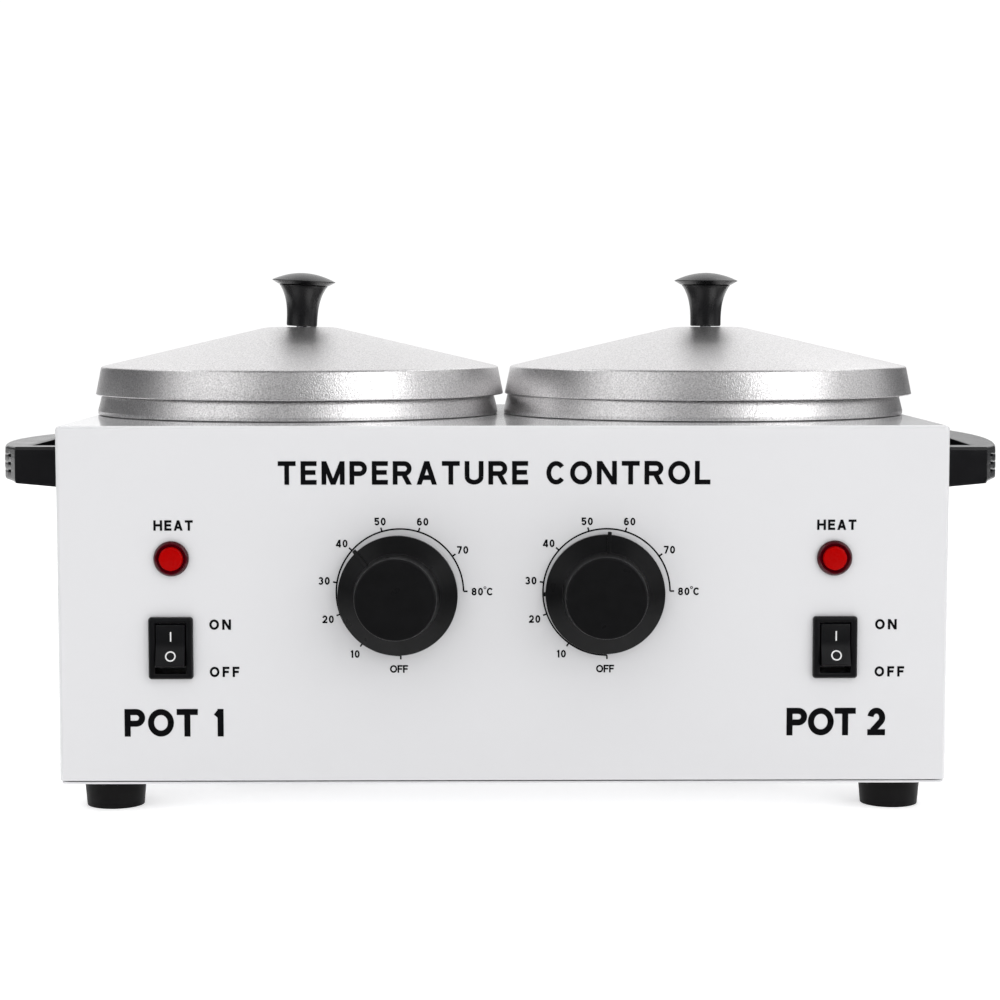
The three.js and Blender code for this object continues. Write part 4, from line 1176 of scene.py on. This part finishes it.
SCALE_RADIUS = 21.4
SCALE_LINE = 0.53
TICK = 1.35
TICKS = (270.5, 233.8, 200.2, 171.1, 138.5, 106.2, 72.9, 34.6, 0.8)  # from OFF to 80, in degrees


def polar(radius, degrees):
    angle = math.radians(degrees)
    return radius * math.cos(angle), radius * math.sin(angle)


def dial_scale():
    start, end = TICKS[0], TICKS[-1]
    steps = 90
    circle = [polar(SCALE_RADIUS, start + (end - start) * index / steps) for index in range(steps + 1)]
    parts = [stroke(circle, SCALE_LINE)]
    for angle in TICKS:
        parts.append(stroke([polar(SCALE_RADIUS, angle), polar(SCALE_RADIUS + TICK, angle)], SCALE_LINE))
    return parts


NUMERALS = (("10", -15.2, -20.9), ("20", -24.2, -9.1), ("30", -25.5, 3.9), ("40", -19.5, 16.5),
            ("50", -6.6, 23.9), ("60", 7.7, 23.8), ("70", 21.1, 14.3))
NUMERAL_HEIGHT = 2.6
NUMERAL_WEIGHT = 0.54


def numerals():
    size = (NUMERAL_HEIGHT, NUMERAL_WEIGHT)
    parts = []
    for text, x, y in NUMERALS:
        parts += written(text, *size, x, y - NUMERAL_HEIGHT / 2, centred=True)
    low = 0.2 - NUMERAL_HEIGHT / 2
    parts += written("OFF", *size, -0.4, -26.0 - NUMERAL_HEIGHT / 2, 6.1, centred=True)
    parts += written("80", *size, 24.1, low)
    parts += written("C", *size, 29.2, low)
    degree_sign = arc(28.6, low + NUMERAL_HEIGHT, 0.36, 0.36, 0, 360)
    parts.append(stroke(degree_sign, 0.22))
    return parts


def print_on_panel(name, parts, x, z):
    place = front_frame(x, z) @ at(0, 0, PRINT_GAP)
    piece(name, moved(joined(parts), place), "casing", "ink")


LABEL = (3.5, 0.78)  # height and weight
TITLE = (7.9, 1.6)
POT_LABEL = (9.4, 2.05)

title = written("TEMPERATURE CONTROL", *TITLE, 0, 0, 145.0, centred=True)
print_on_panel("print_title", title, -3.0, SHELL_LOW.z + 100.3)
for name, side in SIDES:
    axis_x, _, axis_z = joint_at(f"dial_{name}_turn")
    print_on_panel(f"print_scale_{name}", dial_scale() + numerals(), axis_x, axis_z)
    lamp = middle(f"lamp_lens_{name}")
    heat = written("HEAT", *LABEL, 0.7, 9.4, 13.2, centred=True)
    print_on_panel(f"print_heat_{name}", heat, lamp.x, lamp.z)
    switch = middle(f"switch_housing_{name}")
    labels = written("ON", *LABEL, 0, 6.1, 7.3) + written("OFF", *LABEL, 0, -9.95, 10.0)
    label_x = switch.x + 13.25 + side * 0.35
    print_on_panel(f"print_switch_{name}", labels, label_x, switch.z - max(side, 0) * 0.2)
    number = written(f"POT {1 if side < 0 else 2}", *POT_LABEL, -16.0, 0, 33.4)
    print_on_panel(f"print_pot_{name}", number, switch.x, SHELL_LOW.z + 15.1)


# ---- CAD pieces that stay ----

KEPT = {
    "power_inlet": "switch",
    "inlet_pin_line": "brass",
    "inlet_pin_neutral": "brass",
    "inlet_pin_earth": "brass",
    "terminal_block": "nylon",
}
KEPT_ON_EACH_SIDE = {
    "heater_band": "zinc",
    "band_screw": "zinc",
    "insulation_wrap": "felt",
    "pot_bracket": "zinc",
    "capillary_sensor": "copper",
    "knob_screw": "zinc",
    "thermostat": "zinc",
    "thermostat_nut": "zinc",
    "thermostat_shaft": "zinc",
    "lamp_holder": "nylon",
    "wire_loom": "sleeve",
    "foot_screw_front": "zinc",
    "foot_screw_rear": "zinc",
    "handle_screw_front": "zinc",
    "handle_screw_rear": "zinc",
}
for stem, surface in KEPT_ON_EACH_SIDE.items():
    for name, _ in SIDES:
        KEPT[f"{stem}_{name}"] = surface

for node, surface in KEPT.items():
    obj = frame["nodes"][node]
    for slot in obj.material_slots:
        slot.material = SURFACES[surface]
    weld = obj.modifiers.new("weld", "WELD")
    weld.merge_threshold = 1e-5
    soften = obj.modifiers.new("soften", "BEVEL")
    soften.width = 0.15 * MM
    soften.segments = 2
    soften.limit_method = "ANGLE"
    soften.angle_limit = math.radians(35)


# ---- Studio ----

def softbox(name, place, target, width, height, radiance):
    """An even rectangular light, as bright as its radiance says, with 1 as white."""
    light = bpy.data.lights.new(name, "AREA")
    light.shape = "RECTANGLE"
    light.size = width
    light.size_y = height
    light.energy = radiance * math.pi * width * height
    obj = bpy.data.objects.new(name, light)
    obj.location = place
    obj.rotation_euler = (Vector(target) - Vector(place)).to_track_quat("-Z", "Y").to_euler()
    obj.visible_camera = False
    bpy.context.scene.collection.objects.link(obj)
    return obj


def around(azimuth, elevation, distance, centre=(0, 0, 0.12)):
    """A place seen from the object: azimuth 0 is in front, positive to the right."""
    a, e = math.radians(azimuth), math.radians(elevation)
    x = distance * math.sin(a) * math.cos(e)
    y = -distance * math.cos(a) * math.cos(e)
    return centre[0] + x, centre[1] + y, centre[2] + distance * math.sin(e)


TARGET = (0, 0, 0.14)
softbox("key", around(44, 20, 2.2), TARGET, 1.65, 1.3, 2.35)
softbox("side", around(92, 16, 1.6), TARGET, 1.0, 0.9, 0.6)
softbox("fill", around(-50, 20, 1.6), TARGET, 1.4, 0.95, 1.1)
softbox("front", (0, -1.9, 0.95), TARGET, 1.5, 0.7, 0.5)
softbox("high_left", around(-98, 48, 1.5), TARGET, 0.9, 0.6, 1.4)
softbox("high_right", around(98, 48, 1.5), TARGET, 0.9, 0.6, 1.4)
softbox("rear_left", around(-142, 38, 1.7), TARGET, 0.9, 0.7, 0.25)
softbox("rear_right", around(142, 38, 1.7), TARGET, 0.9, 0.7, 0.55)
softbox("low_left", (-1.3, 1.0, 0.1), (0, 0, 0.1), 0.9, 0.2, 0.35)
softbox("backdrop", (0, 1.7, 1.1), (0, 0, 1.1), 2.2, 1.6, 0.96)
softbox("backdrop_low_left", (-0.5, 1.7, 0.18), (-0.5, 0, 0.18), 1.0, 0.34, 0.85)
softbox("backdrop_low_right", (0.5, 1.7, 0.18), (0.5, 0, 0.18), 1.0, 0.34, 0.38)
softbox("ceiling", (0, 0.65, 1.4), (0, 0.65, 0), 2.8, 1.6, 0.42)
for name, place, target, width, height, radiance in (
    ("overhead", (0, -0.62, 0.95), (0, -0.08, 0.08), 1.6, 0.8, 1.35),
    ("floor_wash", (0, 0.85, 1.3), (0, 0.85, 0), 2.8, 1.4, 1.0),
):
    softbox(name, place, target, width, height, radiance).visible_glossy = False

world = bpy.data.worlds.new("studio")
world.use_nodes = True
bpy.context.scene.world = world
tree = world.node_tree
background = tree.nodes["Background"]
background.inputs["Color"].default_value = (0.11, 0.11, 0.113, 1)
seen = tree.nodes.new("ShaderNodeBackground")
seen.inputs["Color"].default_value = (1, 1, 1, 1)
seen.inputs["Strength"].default_value = 1.05
path = tree.nodes.new("ShaderNodeLightPath")
blend = tree.nodes.new("ShaderNodeMixShader")
tree.links.new(path.outputs["Is Camera Ray"], blend.inputs["Fac"])
tree.links.new(background.outputs["Background"], blend.inputs[1])
tree.links.new(seen.outputs["Background"], blend.inputs[2])
tree.links.new(blend.outputs["Shader"], tree.nodes["World Output"].inputs["Surface"])

floor_surface = Surface("pale_floor", (0.86, 0.86, 0.86), 0.7).tint(3, 0.01).gloss(20, 0.65, 0.8)
floor_surface.shader.inputs["Emission Color"].default_value = (1, 1, 1, 1)
floor_surface.shader.inputs["Emission Strength"].default_value = 0.46


def floor(name, near, far, right=1.3):
    bm = bmesh.new()
    corners = ((-1.3, near), (right, near), (right, far), (-1.3, far))
    bm.faces.new([bm.verts.new((x, y, 0)) for x, y in corners])
    mesh = bpy.data.meshes.new(name)
    bm.to_mesh(mesh)
    bm.free()
    mesh.materials.append(floor_surface.material)
    made = bpy.data.objects.new(name, mesh)
    bpy.context.scene.collection.objects.link(made)
    return made


floor("floor", -0.12, 1.66, 0.85)
floor("floor_apron", -1.2, -0.12).visible_glossy = False

camera_data = bpy.data.cameras.new("camera")
camera_data.lens = 86.15
camera_data.sensor_width = 36
camera_data.clip_start = 0.05
camera = bpy.data.objects.new("camera", camera_data)
camera.location = (-0.00819, -0.88063, 0.17136)
camera.rotation_euler = (math.radians(85.387), math.radians(0.02), math.radians(-0.51))
bpy.context.scene.collection.objects.link(camera)
bpy.context.scene.camera = camera
bpy.context.scene.view_settings.view_transform = "Standard"
